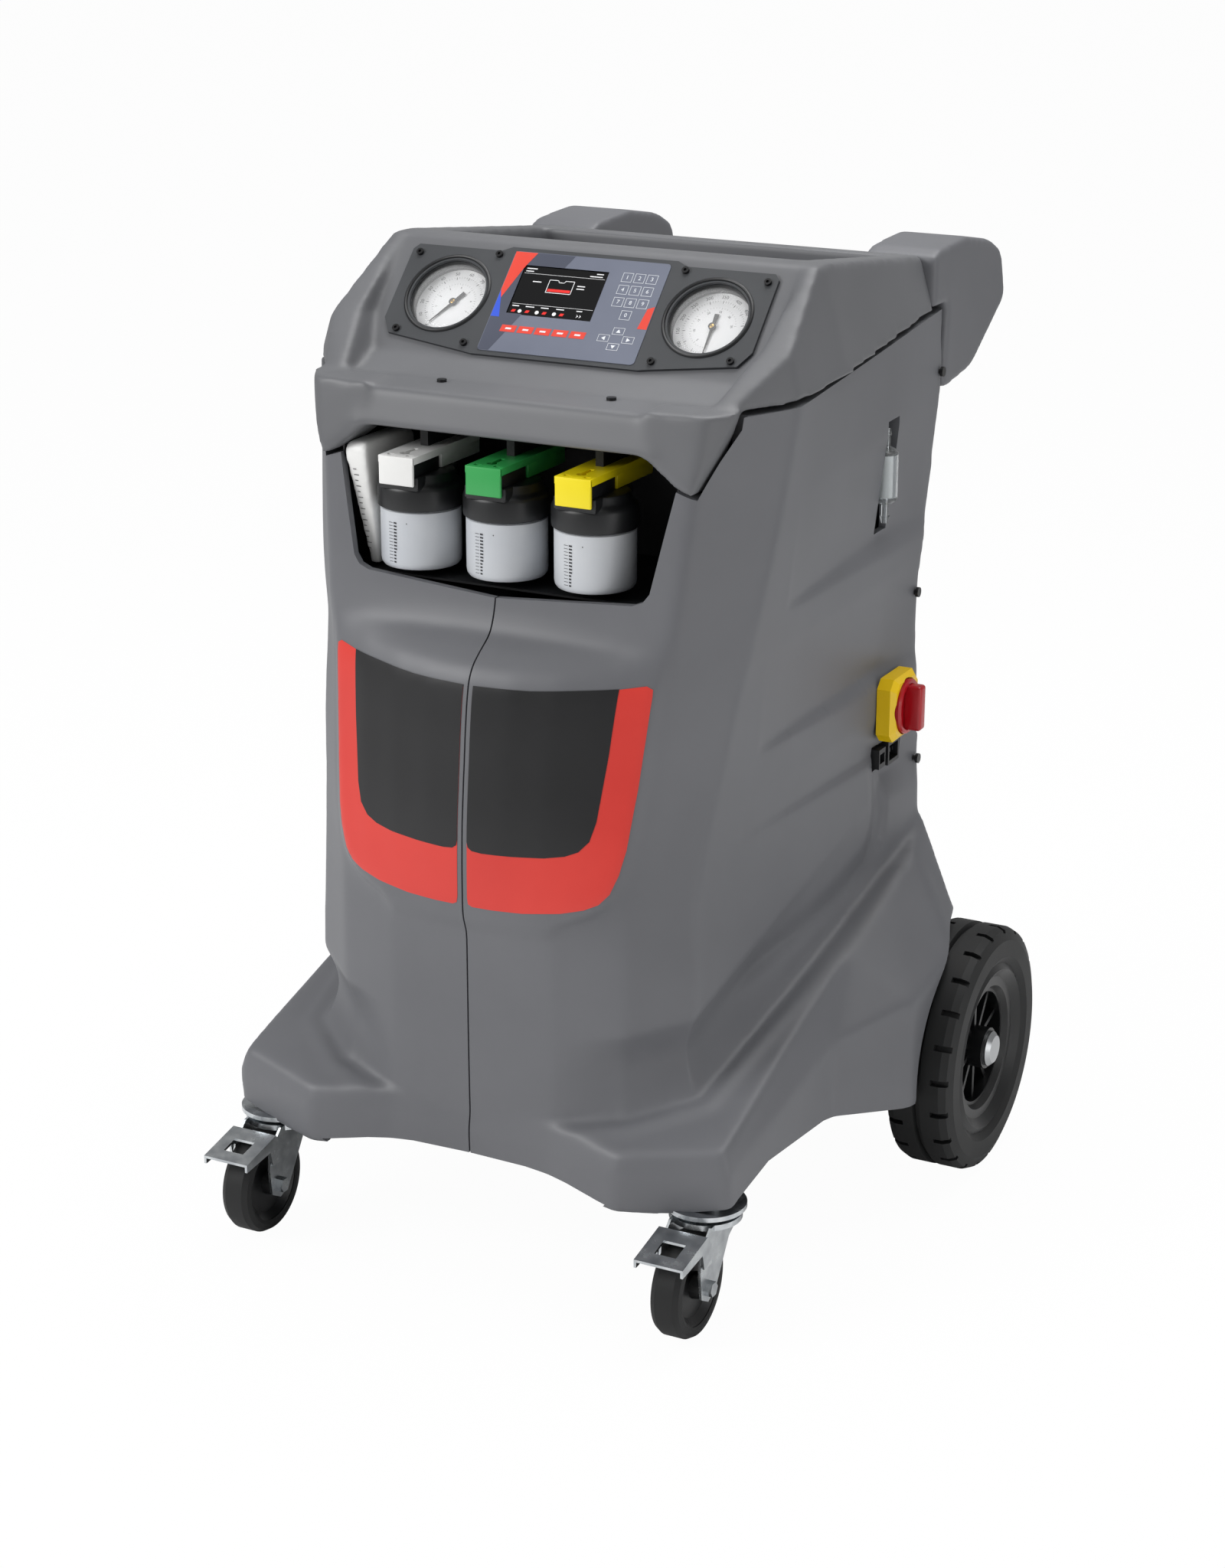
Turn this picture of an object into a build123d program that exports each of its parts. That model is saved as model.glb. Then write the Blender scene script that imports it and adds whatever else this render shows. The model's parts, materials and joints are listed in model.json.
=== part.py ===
from build123d import *
import os
from math import cos, sin, radians

os.makedirs("parts", exist_ok=True)

# Air conditioning recharge station: a service cart on two rear wheels and two braked castors.
# Origin on the floor under the middle of the footprint, -Y the front, X to the right of a
# person who faces the front, Z up. All lengths are millimetres.

# Driving dimensions of the moulded body
wall = 4.0                  # thickness of the moulded shells and hood
seam_gap = 1.0              # gap between the two body shells on the centre line
shell_bottom = 118.0        # lower edge of the body shells above the floor
hood_seam = 830.0           # height of the joint between shells and hood at the front pillars
hood_seam_rise = 0.05       # rise of that joint towards the rear, as a slope
reveal = 4.0                # dark gap between shells and hood
rim_rise = 106.0            # highest point of the hood's rim above the joint
rim_fall = 28.0             # the rim's rear end lies this much below its highest point
nose_drop = 37.0            # lower edge of the hood's nose below the joint, above the bottle bay
deck_height = 178.0         # top of the base deck at its front corners
deck_slope = 0.31           # rise of the base deck towards the rear
shoulder_height = 157.0     # lower edge of the bevel round the deck, at the front
shoulder_slope = 0.235      # rise of that edge towards the rear

# Driving dimensions of the running gear
wheel_diameter = 250.0
wheel_width = 70.0
wheel_centre_x = 316.0
rear_axle_y = 118.0
axle_diameter = 20.0
rim_diameter = 176.0
arch_clearance = 13.0
castor_wheel_diameter = 100.0
castor_wheel_width = 30.0
castor_x = 231.0
castor_swivel_y = -305.0
castor_trail = 38.0
castor_height = 128.0       # floor to the underside of the chassis
castor_ring_diameter = 76.0
castor_bolt_diameter = 12.0

# Driving dimensions of the console
console_slope = 45.3        # degrees between the console and the floor
console_y = -120.75         # middle of the console plate
console_rise = 59.0         # the same point above the joint of hood and shells
fascia_thickness = 3.0
keypad_width = 162.0
keypad_height = 111.0
gauge_x = 134.9
gauge_v = 2.5               # gauge centre above the middle of the console, up its slope
gauge_diameter = 80.0
gauge_depth = 34.0
needle_length = 29.0
display_width = 96.0
display_height = 60.0

# Driving dimensions of the bottle bay
bay_half_top = 172.0
bay_half_bottom = 152.0
bay_bottom = 651.0
bay_floor = 655.0
bottle_spacing = 90.5
bottle_middle_x = -11.5
bottle_y = -230.0
jar_diameter = 75.0
jar_bottom = 662.0
jar_height = 56.0
jar_wall = 1.8
cap_diameter = 80.0
cap_height = 33.0

# Driving dimensions of the steelwork and what it carries
sheet = 3.0
post_width = 20.0
post_half_spacing = 196.0
panel_thickness = 1.5
tank_diameter = 210.0
tank_height = 330.0
fit = 0.3                   # gap between pieces that only lie beside each other
running_fit = 0.05          # radial clearance of a bearing or hinge

# Derived heights and places
hood_top = hood_seam + rim_rise
rim_rear_height = hood_top - rim_fall
nose_bottom = hood_seam - nose_drop
ledge_height = hood_seam - 1.0
console_z = hood_seam + console_rise
chassis_top = castor_height + sheet
castor_wheel_y = castor_swivel_y - castor_trail
wheel_radius = wheel_diameter / 2
castor_radius = castor_wheel_diameter / 2


def save(name, shape):
    """Write one sub-part to its own STEP file."""
    export_step(shape, "parts/" + name + ".step")


def side_prism(points, x_low, x_high):
    """Closed outline of (y, z) points, drawn from X = x_low to X = x_high."""
    outline = Plane.YZ.offset(x_low) * make_face(Polyline(points, close=True))
    return extrude(outline, x_high - x_low)


def front_prism(points, y_low, y_high):
    """Closed outline of (x, z) points, drawn from Y = y_low to Y = y_high."""
    outline = Plane.XZ.offset(-y_high) * make_face(Polyline(points, close=True))
    return extrude(outline, y_high - y_low)


def flat_prism(points, z_low, z_high):
    """Closed outline of (x, y) points, drawn from Z = z_low to Z = z_high."""
    outline = Plane.XY.offset(z_low) * make_face(Polyline(points, close=True))
    return extrude(outline, z_high - z_low)


def block(x, y, z):
    """Box between two values of X, of Y and of Z."""
    size = (x[1] - x[0], y[1] - y[0], z[1] - z[0])
    middle = ((x[0] + x[1]) / 2, (y[0] + y[1]) / 2, (z[0] + z[1]) / 2)
    return Pos(*middle) * Box(*size)


def rod_x(diameter, x_low, x_high, y, z):
    """Round bar along X."""
    bar = Rot(0, 90, 0) * Cylinder(diameter / 2, x_high - x_low)
    return Pos((x_low + x_high) / 2, y, z) * bar


def rod_y(diameter, y_low, y_high, x, z):
    """Round bar along Y."""
    bar = Rot(90, 0, 0) * Cylinder(diameter / 2, y_high - y_low)
    return Pos(x, (y_low + y_high) / 2, z) * bar


def rod_z(diameter, z_low, z_high, x, y):
    """Round bar along Z."""
    return Pos(x, y, (z_low + z_high) / 2) * Cylinder(diameter / 2, z_high - z_low)


def turned(points, x, y, z):
    """Body turned about a vertical axis from (radius, height) points."""
    profile = Plane.XZ * make_face(Polyline(points, close=True))
    return Pos(x, y, z) * revolve(profile, Axis.Z)


def turned_x(points, x, y, z):
    """Body turned about an axis along X from (radius, offset along X) points."""
    profile = Plane.XZ * make_face(Polyline(points, close=True))
    return Pos(x, y, z) * (Rot(0, 90, 0) * revolve(profile, Axis.Z))


def inset(points, distance):
    """Outline moved inwards by distance with mitred corners; points run anticlockwise."""
    moved = []
    count = len(points)
    for index, (x, y) in enumerate(points):
        before = Vector(*points[index - 1])
        here = Vector(x, y)
        after = Vector(*points[(index + 1) % count])
        arriving = (here - before).normalized()
        leaving = (after - here).normalized()
        scale = distance / (1 + arriving.dot(leaving))
        moved.append((x - (arriving.Y + leaving.Y) * scale, y + (arriving.X + leaving.X) * scale))
    return moved


def both_sides(half):
    """Symmetric outline from its right half, which runs from the front centre to the rear."""
    return half + [(-x, y) for x, y in reversed(half) if x > 0]


def rear_y(z):
    """Outer face of the body's back at height z; it leans out below the handles."""
    line = ((100, 193), (297, 193), (588, 182), (771, 235), (860, 243))
    for (z_low, y_low), (z_high, y_high) in zip(line, line[1:]):
        if z <= z_high:
            return y_low + (y_high - y_low) * (z - z_low) / (z_high - z_low)
    return line[-1][1]


# Body shells
# The column is a ruled loft through level sections, each given by its right half: the middle of
# the curved front, the edge and the foot of the raised shield on it, the two edges of the slanted
# front pillar, and the rear corner.
column_sections = (
    (shell_bottom, -333, (80, -330), (84, -329.5), (158, -318), (228, -296), 238),
    (190, -334, (80, -329), (84, -328.5), (156, -313), (216, -284), 238),
    (250, -335, (80, -329), (84, -328.5), (150, -309), (203, -268), 238),
    (356, -335, (80, -329), (84, -328.5), (150, -305), (199, -263), 234),
    (367, -342, (84, -335), (88, -328), (150, -304.5), (198.5, -262.5), 233.7),
    (380, -342, (116, -327), (120, -319), (151, -304), (198, -262), 233.3),
    (399, -342, (139, -319), (143, -310), (154, -302), (199, -259), 232.8),
    (440, -341, (151, -309), (155, -301), (160, -297), (202, -251), 231.6),
    (510, -335, (159, -295), (163, -287), (168, -283), (210, -236), 230),
    (585, -324, (166, -282), (170, -274), (174, -271), (218, -214), 230),
    (602, -314, (168, -278), (172, -272), (176, -269), (221, -208), 230),
    (622, -283, (170, -274), (174, -273), (178, -270), (224, -206), 230),
    (660, -272, (173, -268.5), (177, -268), (182, -264), (230, -199), 229),
    (735, -266, (181, -258.5), (185, -258), (190, -253), (239, -182), 227),
    (870, -250, (194, -238.5), (198, -238), (203, -233), (250, -157), 220),
)

# Three long flutes run back along each side: shallow scoops that start as nothing behind the
# front pillar and end at the rear corner in a step that faces up. Each has the two (y, z) points
# where it starts, its upper rear corner, the foot and the lip of its step at the rear, and depth.
flutes = (
    ((-97, 745), (-138, 636), 766, 656, 632, 7.0),
    ((-130, 600), (-164, 505), 612, 516, 494, 7.0),
    ((-160, 462), (-190, 395), 470, 404, 382, 6.0),
)
flute_rear_y = 260.0


def side_face_x(y, z):
    """X of the flat side of the column between its front edge and its rear corner."""
    for low, high in zip(column_sections, column_sections[1:]):
        if z <= high[0]:
            break
    share = (z - low[0]) / (high[0] - low[0])
    edge_x = low[5][0] + share * (high[5][0] - low[5][0])
    edge_y = low[5][1] + share * (high[5][1] - low[5][1])
    rear_x = low[6] + share * (high[6] - low[6])
    return edge_x + (rear_x - edge_x) * (y - edge_y) / (rear_y(z) - edge_y)


def flute(start_high, start_low, rear_high, rear_foot, rear_lip, depth, inward):
    """Cutter for one flute of the right side."""
    spots = [start_high, (flute_rear_y, rear_high), (flute_rear_y, rear_lip), start_low]
    on_face = [Vector(side_face_x(y, z) - inward, y, z) for y, z in spots]
    outside = [spot + Vector(30, 0, 0) for spot in on_face]
    foot_x = side_face_x(flute_rear_y, rear_foot) - inward - depth
    foot = Vector(foot_x, flute_rear_y, rear_foot)
    a, b, d, e = on_face
    loops = [(a, foot, b), (a, e, foot), (e, d, foot), (b, foot, d), outside,
             (outside[0], outside[3], e), (outside[0], e, a), (outside[3], outside[2], d),
             (outside[3], d, e), (outside[2], outside[1], b), (outside[2], b, d),
             (outside[1], outside[0], a), (outside[1], a, b)]
    loops[4:5] = [(outside[0], outside[1], outside[2]), (outside[0], outside[2], outside[3])]
    return Solid(Shell([Face(Wire.make_polygon(loop, close=True)) for loop in loops]))


def column(inward):
    """The body's column, with its walls moved inwards by the given distance."""
    faces = []
    for z, front, shield, foot, pillar, edge, rear_x in column_sections:
        half = [(0, front), shield, foot, pillar, edge, (rear_x, rear_y(z))]
        points = inset(both_sides(half), inward)
        front_arc = ThreePointArc(points[-1], points[0], points[1])
        faces.append(Pos(0, 0, z) * make_face([front_arc, Polyline(points[1:])]))
    form = loft(faces, ruled=True)
    for shape in flutes:
        cutter = flute(*shape, inward)
        form -= cutter
        form -= mirror(cutter, Plane.YZ)
    return form


# The base is lofted through three outlines: its lower edge, the shoulder of the deck and the
# ridge of the deck, of which the last two rise towards the rear.
base_lower = [(0, -335), (84, -338), (163, -358), (266, -320), (277, -115), (322, -30), (329, 60),
              (300, 135), (240, 193)]
base_shoulder = [(0, -337), (84, -340), (163, -359), (264, -326), (273, -115), (320, -30), (327, 60),
                 (297, 135), (240, 193)]
base_ridge = [(0, -331), (84, -334), (165, -352), (257, -322), (251, -115), (252, -30), (254, 60),
              (252, 135), (236, 192)]


def rising(points, height, slope):
    """Outline of (x, y) points raised to a plane that has the given height at the front corner."""
    corners = [Vector(x, y, height + slope * (y - base_lower[3][1])) for x, y in points]
    return Face(Wire.make_polygon(corners, close=True))


def base(inward):
    """The flared base of the body, with its walls moved inwards by the given distance."""
    lower = rising(inset(both_sides(base_lower), inward), shell_bottom, 0)
    shoulder = rising(inset(both_sides(base_shoulder), inward), shoulder_height, shoulder_slope)
    ridge = rising(inset(both_sides(base_ridge), inward), deck_height - inward, deck_slope)
    return loft([lower, shoulder, ridge], ruled=True)


arch_inner_x = wheel_centre_x - wheel_width / 2 - arch_clearance
arch_outer_x = wheel_centre_x + wheel_width
arch_radius = wheel_radius + arch_clearance
seam_plane_y = -165.0       # where hood_seam is measured


def seam_z(y):
    """Height of the middle of the joint between shells and hood."""
    return hood_seam + hood_seam_rise * (y - seam_plane_y)


def above_seam(gap):
    """Everything above the joint, lowered by half the gap."""
    front_y = -420.0
    back_y = 320.0
    top = 1200.0
    low = [(front_y, seam_z(front_y) + gap), (back_y, seam_z(back_y) + gap)]
    return side_prism(low + [(back_y, top), (front_y, top)], -400, 400)


bay_corner = bay_half_bottom - 14
bay_mouth = [(-bay_half_top, hood_seam + 10), (-bay_half_top, nose_bottom - 26),
             (-bay_half_bottom, bay_bottom + 21), (-bay_corner, bay_bottom + 9), (0, bay_bottom),
             (bay_corner, bay_bottom + 9), (bay_half_bottom, bay_bottom + 21),
             (bay_half_top, nose_bottom - 26), (bay_half_top, hood_seam + 10)]
ear_top = ledge_height - 1
ear_outline = [(bay_half_top - 32, nose_bottom), (bay_half_top, nose_bottom - 25),
               (188, nose_bottom - 32), (200, nose_bottom - 3), (211, ear_top - 10), (215, ear_top),
               (bay_half_top - 32, ear_top)]
ear_back = -232.0
switch_y = 118.0
switch_z = 474.0
filter_y = 96.0
filter_z = 710.0
filter_slot_width = 30.0
filter_slot_height = 112.0


def mirrored(shape):
    """The same shape on the other side of the centre plane."""
    return mirror(shape, Plane.YZ)


body_solid = column(0) + base(0)
body_hollow = column(wall) + base(wall)
skin = body_solid - body_hollow
rear_mouth = block((-post_half_spacing - post_width / 2 - 4, post_half_spacing + post_width / 2 + 4),
                   (150, 300), (100, 900))
skin -= rear_mouth
skin -= above_seam(-reveal / 2)
skin -= front_prism(bay_mouth, -420, -200)
ear_room = front_prism(inset(ear_outline, -reveal), -320, ear_back + reveal)
arch = rod_x(2 * arch_radius, arch_inner_x, arch_outer_x, rear_axle_y, wheel_radius)
arch += block((arch_inner_x, arch_outer_x), (rear_axle_y, 300), (100, wheel_radius + arch_radius))
for cut in (ear_room, arch):
    skin -= cut
    skin -= mirrored(cut)
half_space = block((seam_gap / 2, 500), (-500, 500), (0, 1200))
right_shell = skin & half_space
left_shell = mirrored(right_shell)
side_x = 226.0              # outer face of the column's side round the switch and filter
inlet_drop = 52.0           # the mains inlet lies this far below the switch
switch_hole = rod_x(40, side_x - 20, side_x + 20, switch_y, switch_z)
inlet_hole = block((side_x - 20, side_x + 20), (switch_y - 29, switch_y + 31),
                   (switch_z - inlet_drop - 13, switch_z - inlet_drop + 13))
filter_slot = block((side_x - 20, side_x + 20),
                    (filter_y - filter_slot_width / 2, filter_y + filter_slot_width / 2),
                    (filter_z - filter_slot_height / 2, filter_z + filter_slot_height / 2))
right_shell -= switch_hole + inlet_hole + filter_slot
save("left_shell", left_shell)
save("right_shell", right_shell)


# Hood
# One moulding over the column: a rounded nose above the bottle bay, a ledge, the sloping
# console between two raised cheeks, and a storage tray behind the rim.
hood_plan = [(0, -266), (150, -266), (198, -254), (259, -168), (262, -60), (241, 208), (226, 245)]
hood_draft = 42.0           # the hood's sides lean in by this much from bottom to top
hood_low_z = nose_bottom - 3
hood_high_z = hood_top + 9
hood_back_y = 250.0
hood_side = [(-256, ledge_height - 1), (-222, ledge_height + 4), (-185, ledge_height + 29),
             (-150, ledge_height + 53), (-72, hood_top), (-48, hood_top), (176, rim_rear_height),
             (212, rim_rear_height - 5), (hood_back_y, rim_rear_height - 28),
             (hood_back_y, seam_z(hood_back_y) + reveal / 2),
             (-275, seam_z(-275) + reveal / 2)]
nose_side = [(-275, nose_bottom), (-275, nose_bottom + 19), (-256, ledge_height - 3),
             (-222, ledge_height + 4), (-185, ledge_height + 29), (-150, ledge_height + 53),
             (-150, ledge_height - 3), (-226, nose_bottom)]
pocket_half_width = 192.0
console_dir = Vector(0, cos(radians(console_slope)), sin(radians(console_slope)))
console_normal = Vector(0, -sin(radians(console_slope)), cos(radians(console_slope)))
console_middle = Vector(0, console_y, console_z)
console_plane = Plane(origin=console_middle, x_dir=(1, 0, 0), z_dir=console_normal)
tray_half_width = 186.0
tray_front_y = -34.0
tray_rear_y = 168.0
tray_floor = rim_rear_height - 40


def console_point(v, w):
    """(y, z) of a point at v up the console's slope and w in front of its plate."""
    spot = console_middle + console_dir * v + console_normal * w
    return (spot.Y, spot.Z)


def hood_part(side, half_width, inward):
    """The hood's drafted form between two planes X, cut to a side view, walls moved inwards."""
    faces = []
    for z, draft in ((hood_low_z, 0), (hood_high_z, hood_draft)):
        points = inset(both_sides(hood_plan), draft + inward)
        faces.append(Pos(0, 0, z) * make_face(Polyline(points, close=True)))
    outline = make_face(Polyline(side, close=True))
    if inward:
        outline = offset(outline, -inward, kind=Kind.INTERSECTION)
    half = half_width - inward
    return loft(faces, ruled=True) & extrude(Plane.YZ.offset(-half) * outline, 2 * half)


def hood_block(inward):
    """Outer form of the hood before its pockets: the main cover and the nose over the bay."""
    return hood_part(hood_side, 300, inward) + hood_part(nose_side, pocket_half_width, inward)


plate_seat = -fascia_thickness
above_hood = hood_top + 24
console_cut = [(-300, ledge_height), (-200, ledge_height), console_point(-64, plate_seat),
               console_point(72, plate_seat), console_point(72, 60), (-300, above_hood)]
tray_cut = [(tray_front_y, above_hood), (tray_front_y, tray_floor), (tray_rear_y, tray_floor),
            (tray_rear_y, above_hood)]


def pocket(points, half_width, grown):
    """Pocket with the given (y, z) outline, grown on every side by the wall's thickness."""
    outline = make_face(Polyline(points, close=True))
    if grown:
        outline = offset(outline, grown, kind=Kind.INTERSECTION)
    width = 2 * (half_width + grown)
    return extrude(Plane.YZ.offset(-width / 2) * outline, width)


def hood_form(inward):
    """Hood with its pockets, as a solid; moved inwards it is the hollow inside."""
    form = hood_block(inward) - pocket(console_cut, pocket_half_width, inward)
    return form - pocket(tray_cut, tray_half_width, inward)


handle_inner_x = 150.0
handle_outer_x = 226.0
handle_front_y = 205.0
ear = front_prism(ear_outline, -300, ear_back)
ear_thickness = 6.0


def ear_block(inward):
    """The hood's drafted form, continued downwards for its ears."""
    faces = []
    for z, draft in ((hood_seam - 130, -24), (hood_seam + 40, 22)):
        points = inset(both_sides(hood_plan), draft + inward)
        faces.append(Pos(0, 0, z) * make_face(Polyline(points, close=True)))
    return loft(faces, ruled=True)


ear = (ear & ear_block(0)) - ear_block(ear_thickness)
hood = hood_form(0) + ear + mirrored(ear)
flange_half_width = 208.0   # the hood's lower edge turns inwards to this width and rests on the posts
opening_front = -150.0
opening_back = hood_back_y - 20
hood_opening = side_prism([(opening_front, seam_z(opening_front) + wall + 2),
                           (opening_back, seam_z(opening_back) + wall + 2),
                           (opening_back, hood_seam - 30), (opening_front, hood_seam - 30)],
                          -flange_half_width, flange_half_width)
hood -= hood_form(wall) + hood_opening
handle_notch = block((handle_inner_x - fit, 300), (handle_front_y - fit, 300),
                     (hood_seam - 30, above_hood))
hood -= handle_notch + mirrored(handle_notch)

# Openings of the console in the hood: a window for the display, two wells for the gauges and
# the screw holes of the plate.
def on_console(shape):
    """Place a shape drawn on the console plate's own axes."""
    return console_plane * shape


def console_disc(diameter, w_low, w_high, u, v):
    """Round disc on the console, between two heights above the face of the plate."""
    return on_console(Pos(u, v, (w_low + w_high) / 2) * Cylinder(diameter / 2, w_high - w_low))


def console_block(width, height, w_low, w_high, u, v):
    """Rectangular block on the console, between two heights above the face of the plate."""
    return on_console(Pos(u, v, (w_low + w_high) / 2) * Box(width, height, w_high - w_low))


display_u = -26.0
display_v = 16.0
display_body = (108.0, 72.0)
display_body_depth = 15.0
gauge_flange_diameter = gauge_diameter + 8
wall_back = plate_seat - wall - 6
fascia_screw_spots = ((96.8, 50.0), (96.8, -50.0), (180.7, 45.0), (172.7, -41.5))
fascia_screw_diameter = 4.0
hood_screw_spot = (86.8, -214.0)
sides = (-1, 1)
screw_spots = [(side * u, v) for side in sides for u, v in fascia_screw_spots]
hood -= console_block(display_body[0] + 1, display_body[1] + 1, wall_back, 0, display_u, display_v)
for side in sides:
    hood -= console_disc(gauge_flange_diameter + 1, wall_back, 0, side * gauge_x, gauge_v)
    hood -= rod_z(fascia_screw_diameter, ledge_height - 20, ledge_height + 1,
                  side * hood_screw_spot[0], hood_screw_spot[1])
for u, v in screw_spots:
    hood -= console_disc(fascia_screw_diameter, wall_back, 0, u, v)
save("hood", hood)

# Console
# A flat plate with two wings lies on the hood's console; the gauges hang from it through wells
# and the display looks through its window. The keys are one flexible membrane on top.
fascia_outline = [(-190, 49), (-190, -30), (-180, -46), (-98, -58), (-86, -60), (86, -60),
                  (98, -58), (180, -46), (190, -30), (190, 49), (185, 55), (96, 55), (86, 60),
                  (-86, 60), (-96, 55), (-185, 55)]
fascia = extrude(Pos(0, 0, plate_seat) * make_face(Polyline(fascia_outline, close=True)),
                 fascia_thickness)
fascia = on_console(fascia)
fascia -= console_block(display_width + 0.6, display_height + 0.6, -10, 1, display_u, display_v)
for side in sides:
    fascia -= console_disc(gauge_diameter - 3, -10, 1, side * gauge_x, gauge_v)
for u, v in screw_spots:
    fascia -= console_disc(fascia_screw_diameter, -10, 1, u, v)
save("fascia_plate", fascia)

keypad_thickness = 0.6
keypad = extrude(RectangleRounded(keypad_width, keypad_height, 4), keypad_thickness)
keypad = on_console(keypad)
keypad -= console_block(display_width, display_height, -1, 1, display_u, display_v)
save("keypad", keypad)

display = console_block(display_width, display_height, plate_seat, -0.2, display_u, display_v)
display += console_block(*display_body, plate_seat - display_body_depth, plate_seat,
                         display_u, display_v)
save("display_module", display)

dial_w = -16.0              # face of the dial, below the face of the plate
dial_thickness = 1.0
case_wall = 2.0
lens_thickness = 2.0
spindle_diameter = 3.0
bush_diameter = 14.0
case_bottom = plate_seat - gauge_depth
cases = []
dials = []
lenses = []
for side in sides:
    spot = (side * gauge_x, gauge_v)
    case = console_disc(gauge_diameter, case_bottom, plate_seat, *spot)
    case += console_disc(gauge_flange_diameter, plate_seat - 3, plate_seat, *spot)
    case += console_disc(16, case_bottom - 14, case_bottom, *spot)
    case -= console_disc(gauge_diameter - 2 * case_wall, dial_w - dial_thickness, 0, *spot)
    case -= console_disc(gauge_diameter - 4 * case_wall, case_bottom + case_wall, 0, *spot)
    case += console_disc(bush_diameter, case_bottom + case_wall, dial_w - dial_thickness - fit,
                         *spot)
    bore = console_disc(spindle_diameter + 2 * running_fit, case_bottom + 6, 0, *spot)
    dial = console_disc(gauge_diameter - 2 * case_wall, dial_w - dial_thickness, dial_w, *spot)
    cases.append(case - bore)
    dials.append(dial - bore)
    lenses.append(console_disc(gauge_diameter - 2 * case_wall, plate_seat - lens_thickness,
                               plate_seat, *spot))
save("gauge_cases", Compound(cases))
save("gauge_dials", Compound(dials))
save("gauge_lenses", Compound(lenses))

# Each needle turns on a spindle in the bush behind its dial.
low_rest_angle = 234.0       # degrees from the console's X axis, anticlockwise
high_rest_angle = 270.0
needle_tail = 14.0
needle_thickness = 0.6
needle_clear = 1.2


def needle(side, angle):
    """Pointer with its hub and spindle, at rest at the given angle."""
    low = dial_w + needle_clear
    blade = make_face(Polyline([(-needle_tail, -2.2), (-needle_tail, 2.2), (0, 1.4),
                                (needle_length, 0.3), (needle_length, -0.3), (0, -1.4)], close=True))
    pointer = extrude(Pos(0, 0, low) * blade, needle_thickness)
    pointer += Pos(0, 0, low + 1.2) * Cylinder(3.6, 2.4)
    spindle_low = case_bottom + 8
    pointer += Pos(0, 0, (spindle_low + low) / 2) * Cylinder(spindle_diameter / 2, low - spindle_low)
    return on_console(Pos(side * gauge_x, gauge_v, 0) * Rot(0, 0, angle) * pointer)


save("low_needle", needle(-1, low_rest_angle))
save("high_needle", needle(1, high_rest_angle))

screw_head_diameter = 7.0
screw_head_height = 2.6
console_screws = []
for u, v in screw_spots:
    head = console_disc(screw_head_diameter, 0, screw_head_height, u, v)
    head += console_disc(fascia_screw_diameter, plate_seat - wall, 0, u, v)
    head -= on_console(Pos(u, v, screw_head_height) * extrude(RegularPolygon(1.7, 6), -1.6))
    console_screws.append(head)
for side in sides:
    spot = (side * hood_screw_spot[0], hood_screw_spot[1])
    head = rod_z(9, ledge_height, ledge_height + screw_head_height, *spot)
    console_screws.append(head + rod_z(fascia_screw_diameter, ledge_height - 12, ledge_height, *spot))

# Steel chassis
# A folded floor plate carries two rear posts, two front posts with a shelf frame, the beam that
# holds the rear axle, and a cross rail for the valve block.
plate_half = [(0, -322), (150, -330), (250, -308), (254, -115), (250, 60), (228, 184)]
floor_plate = flat_prism(both_sides(plate_half), castor_height, chassis_top)


def rear_strip(z_low, z_high, behind, thickness):
    """(y, z) outline of a strip that follows the body's back, set in from its outer face."""
    levels = [z_low] + [z for z in (297, 588, 771) if z_low < z < z_high] + [z_high]
    outer = [(rear_y(z) - behind, z) for z in levels]
    return outer + [(y - thickness, z) for y, z in reversed(outer)]


shelf_height = bay_floor - 2.0
shelf_depth = 14.0
front_post_x = 160.0
front_post_y = -190.0
rail_z = 545.0
chassis = floor_plate
post_top_y = rear_y(hood_seam + 20) - panel_thickness - post_width
post_top = seam_z(post_top_y) + reveal / 2
for side in sides:
    x_range = sorted((side * (post_half_spacing - post_width / 2),
                      side * (post_half_spacing + post_width / 2)))
    chassis += side_prism(rear_strip(chassis_top - 1, post_top, panel_thickness, post_width), *x_range)
    middle = side * front_post_x
    chassis += block((middle - 10, middle + 10), (front_post_y - 10, front_post_y + 10),
                     (chassis_top - 1, shelf_height))
    inner_x = side * (front_post_x - 10)
    outer_x = side * (post_half_spacing + post_width / 2)
    chassis += block(sorted((inner_x, outer_x)), (front_post_y - 10, rear_y(shelf_height) - 10),
                     (shelf_height - shelf_depth, shelf_height))
chassis += block((-front_post_x, front_post_x), (front_post_y - 10, front_post_y + 10),
                 (shelf_height - shelf_depth, shelf_height))
rail_y = rear_y(rail_z + 10) - panel_thickness
chassis += block((-post_half_spacing, post_half_spacing), (rail_y - 90, rail_y - 4),
                 (rail_z, rail_z + 4))
beam_half_length = 244.0
beam_wall = 4.0
beam = block((-beam_half_length, beam_half_length), (rear_axle_y - 20, rear_axle_y + 20),
             (wheel_radius - 20, wheel_radius + 22))
beam_inside = block((-beam_half_length + 10, beam_half_length - 10),
                    (rear_axle_y - 20 + beam_wall, rear_axle_y + 20 - beam_wall),
                    (wheel_radius - 20 + beam_wall, wheel_radius + 22 - beam_wall))
chassis = chassis + beam - beam_inside
chassis -= rod_x(axle_diameter + 2 * running_fit, -300, 300, rear_axle_y, wheel_radius)
for side in sides:
    chassis -= rod_z(castor_bolt_diameter, 100, 160, side * castor_x, castor_swivel_y)

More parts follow.
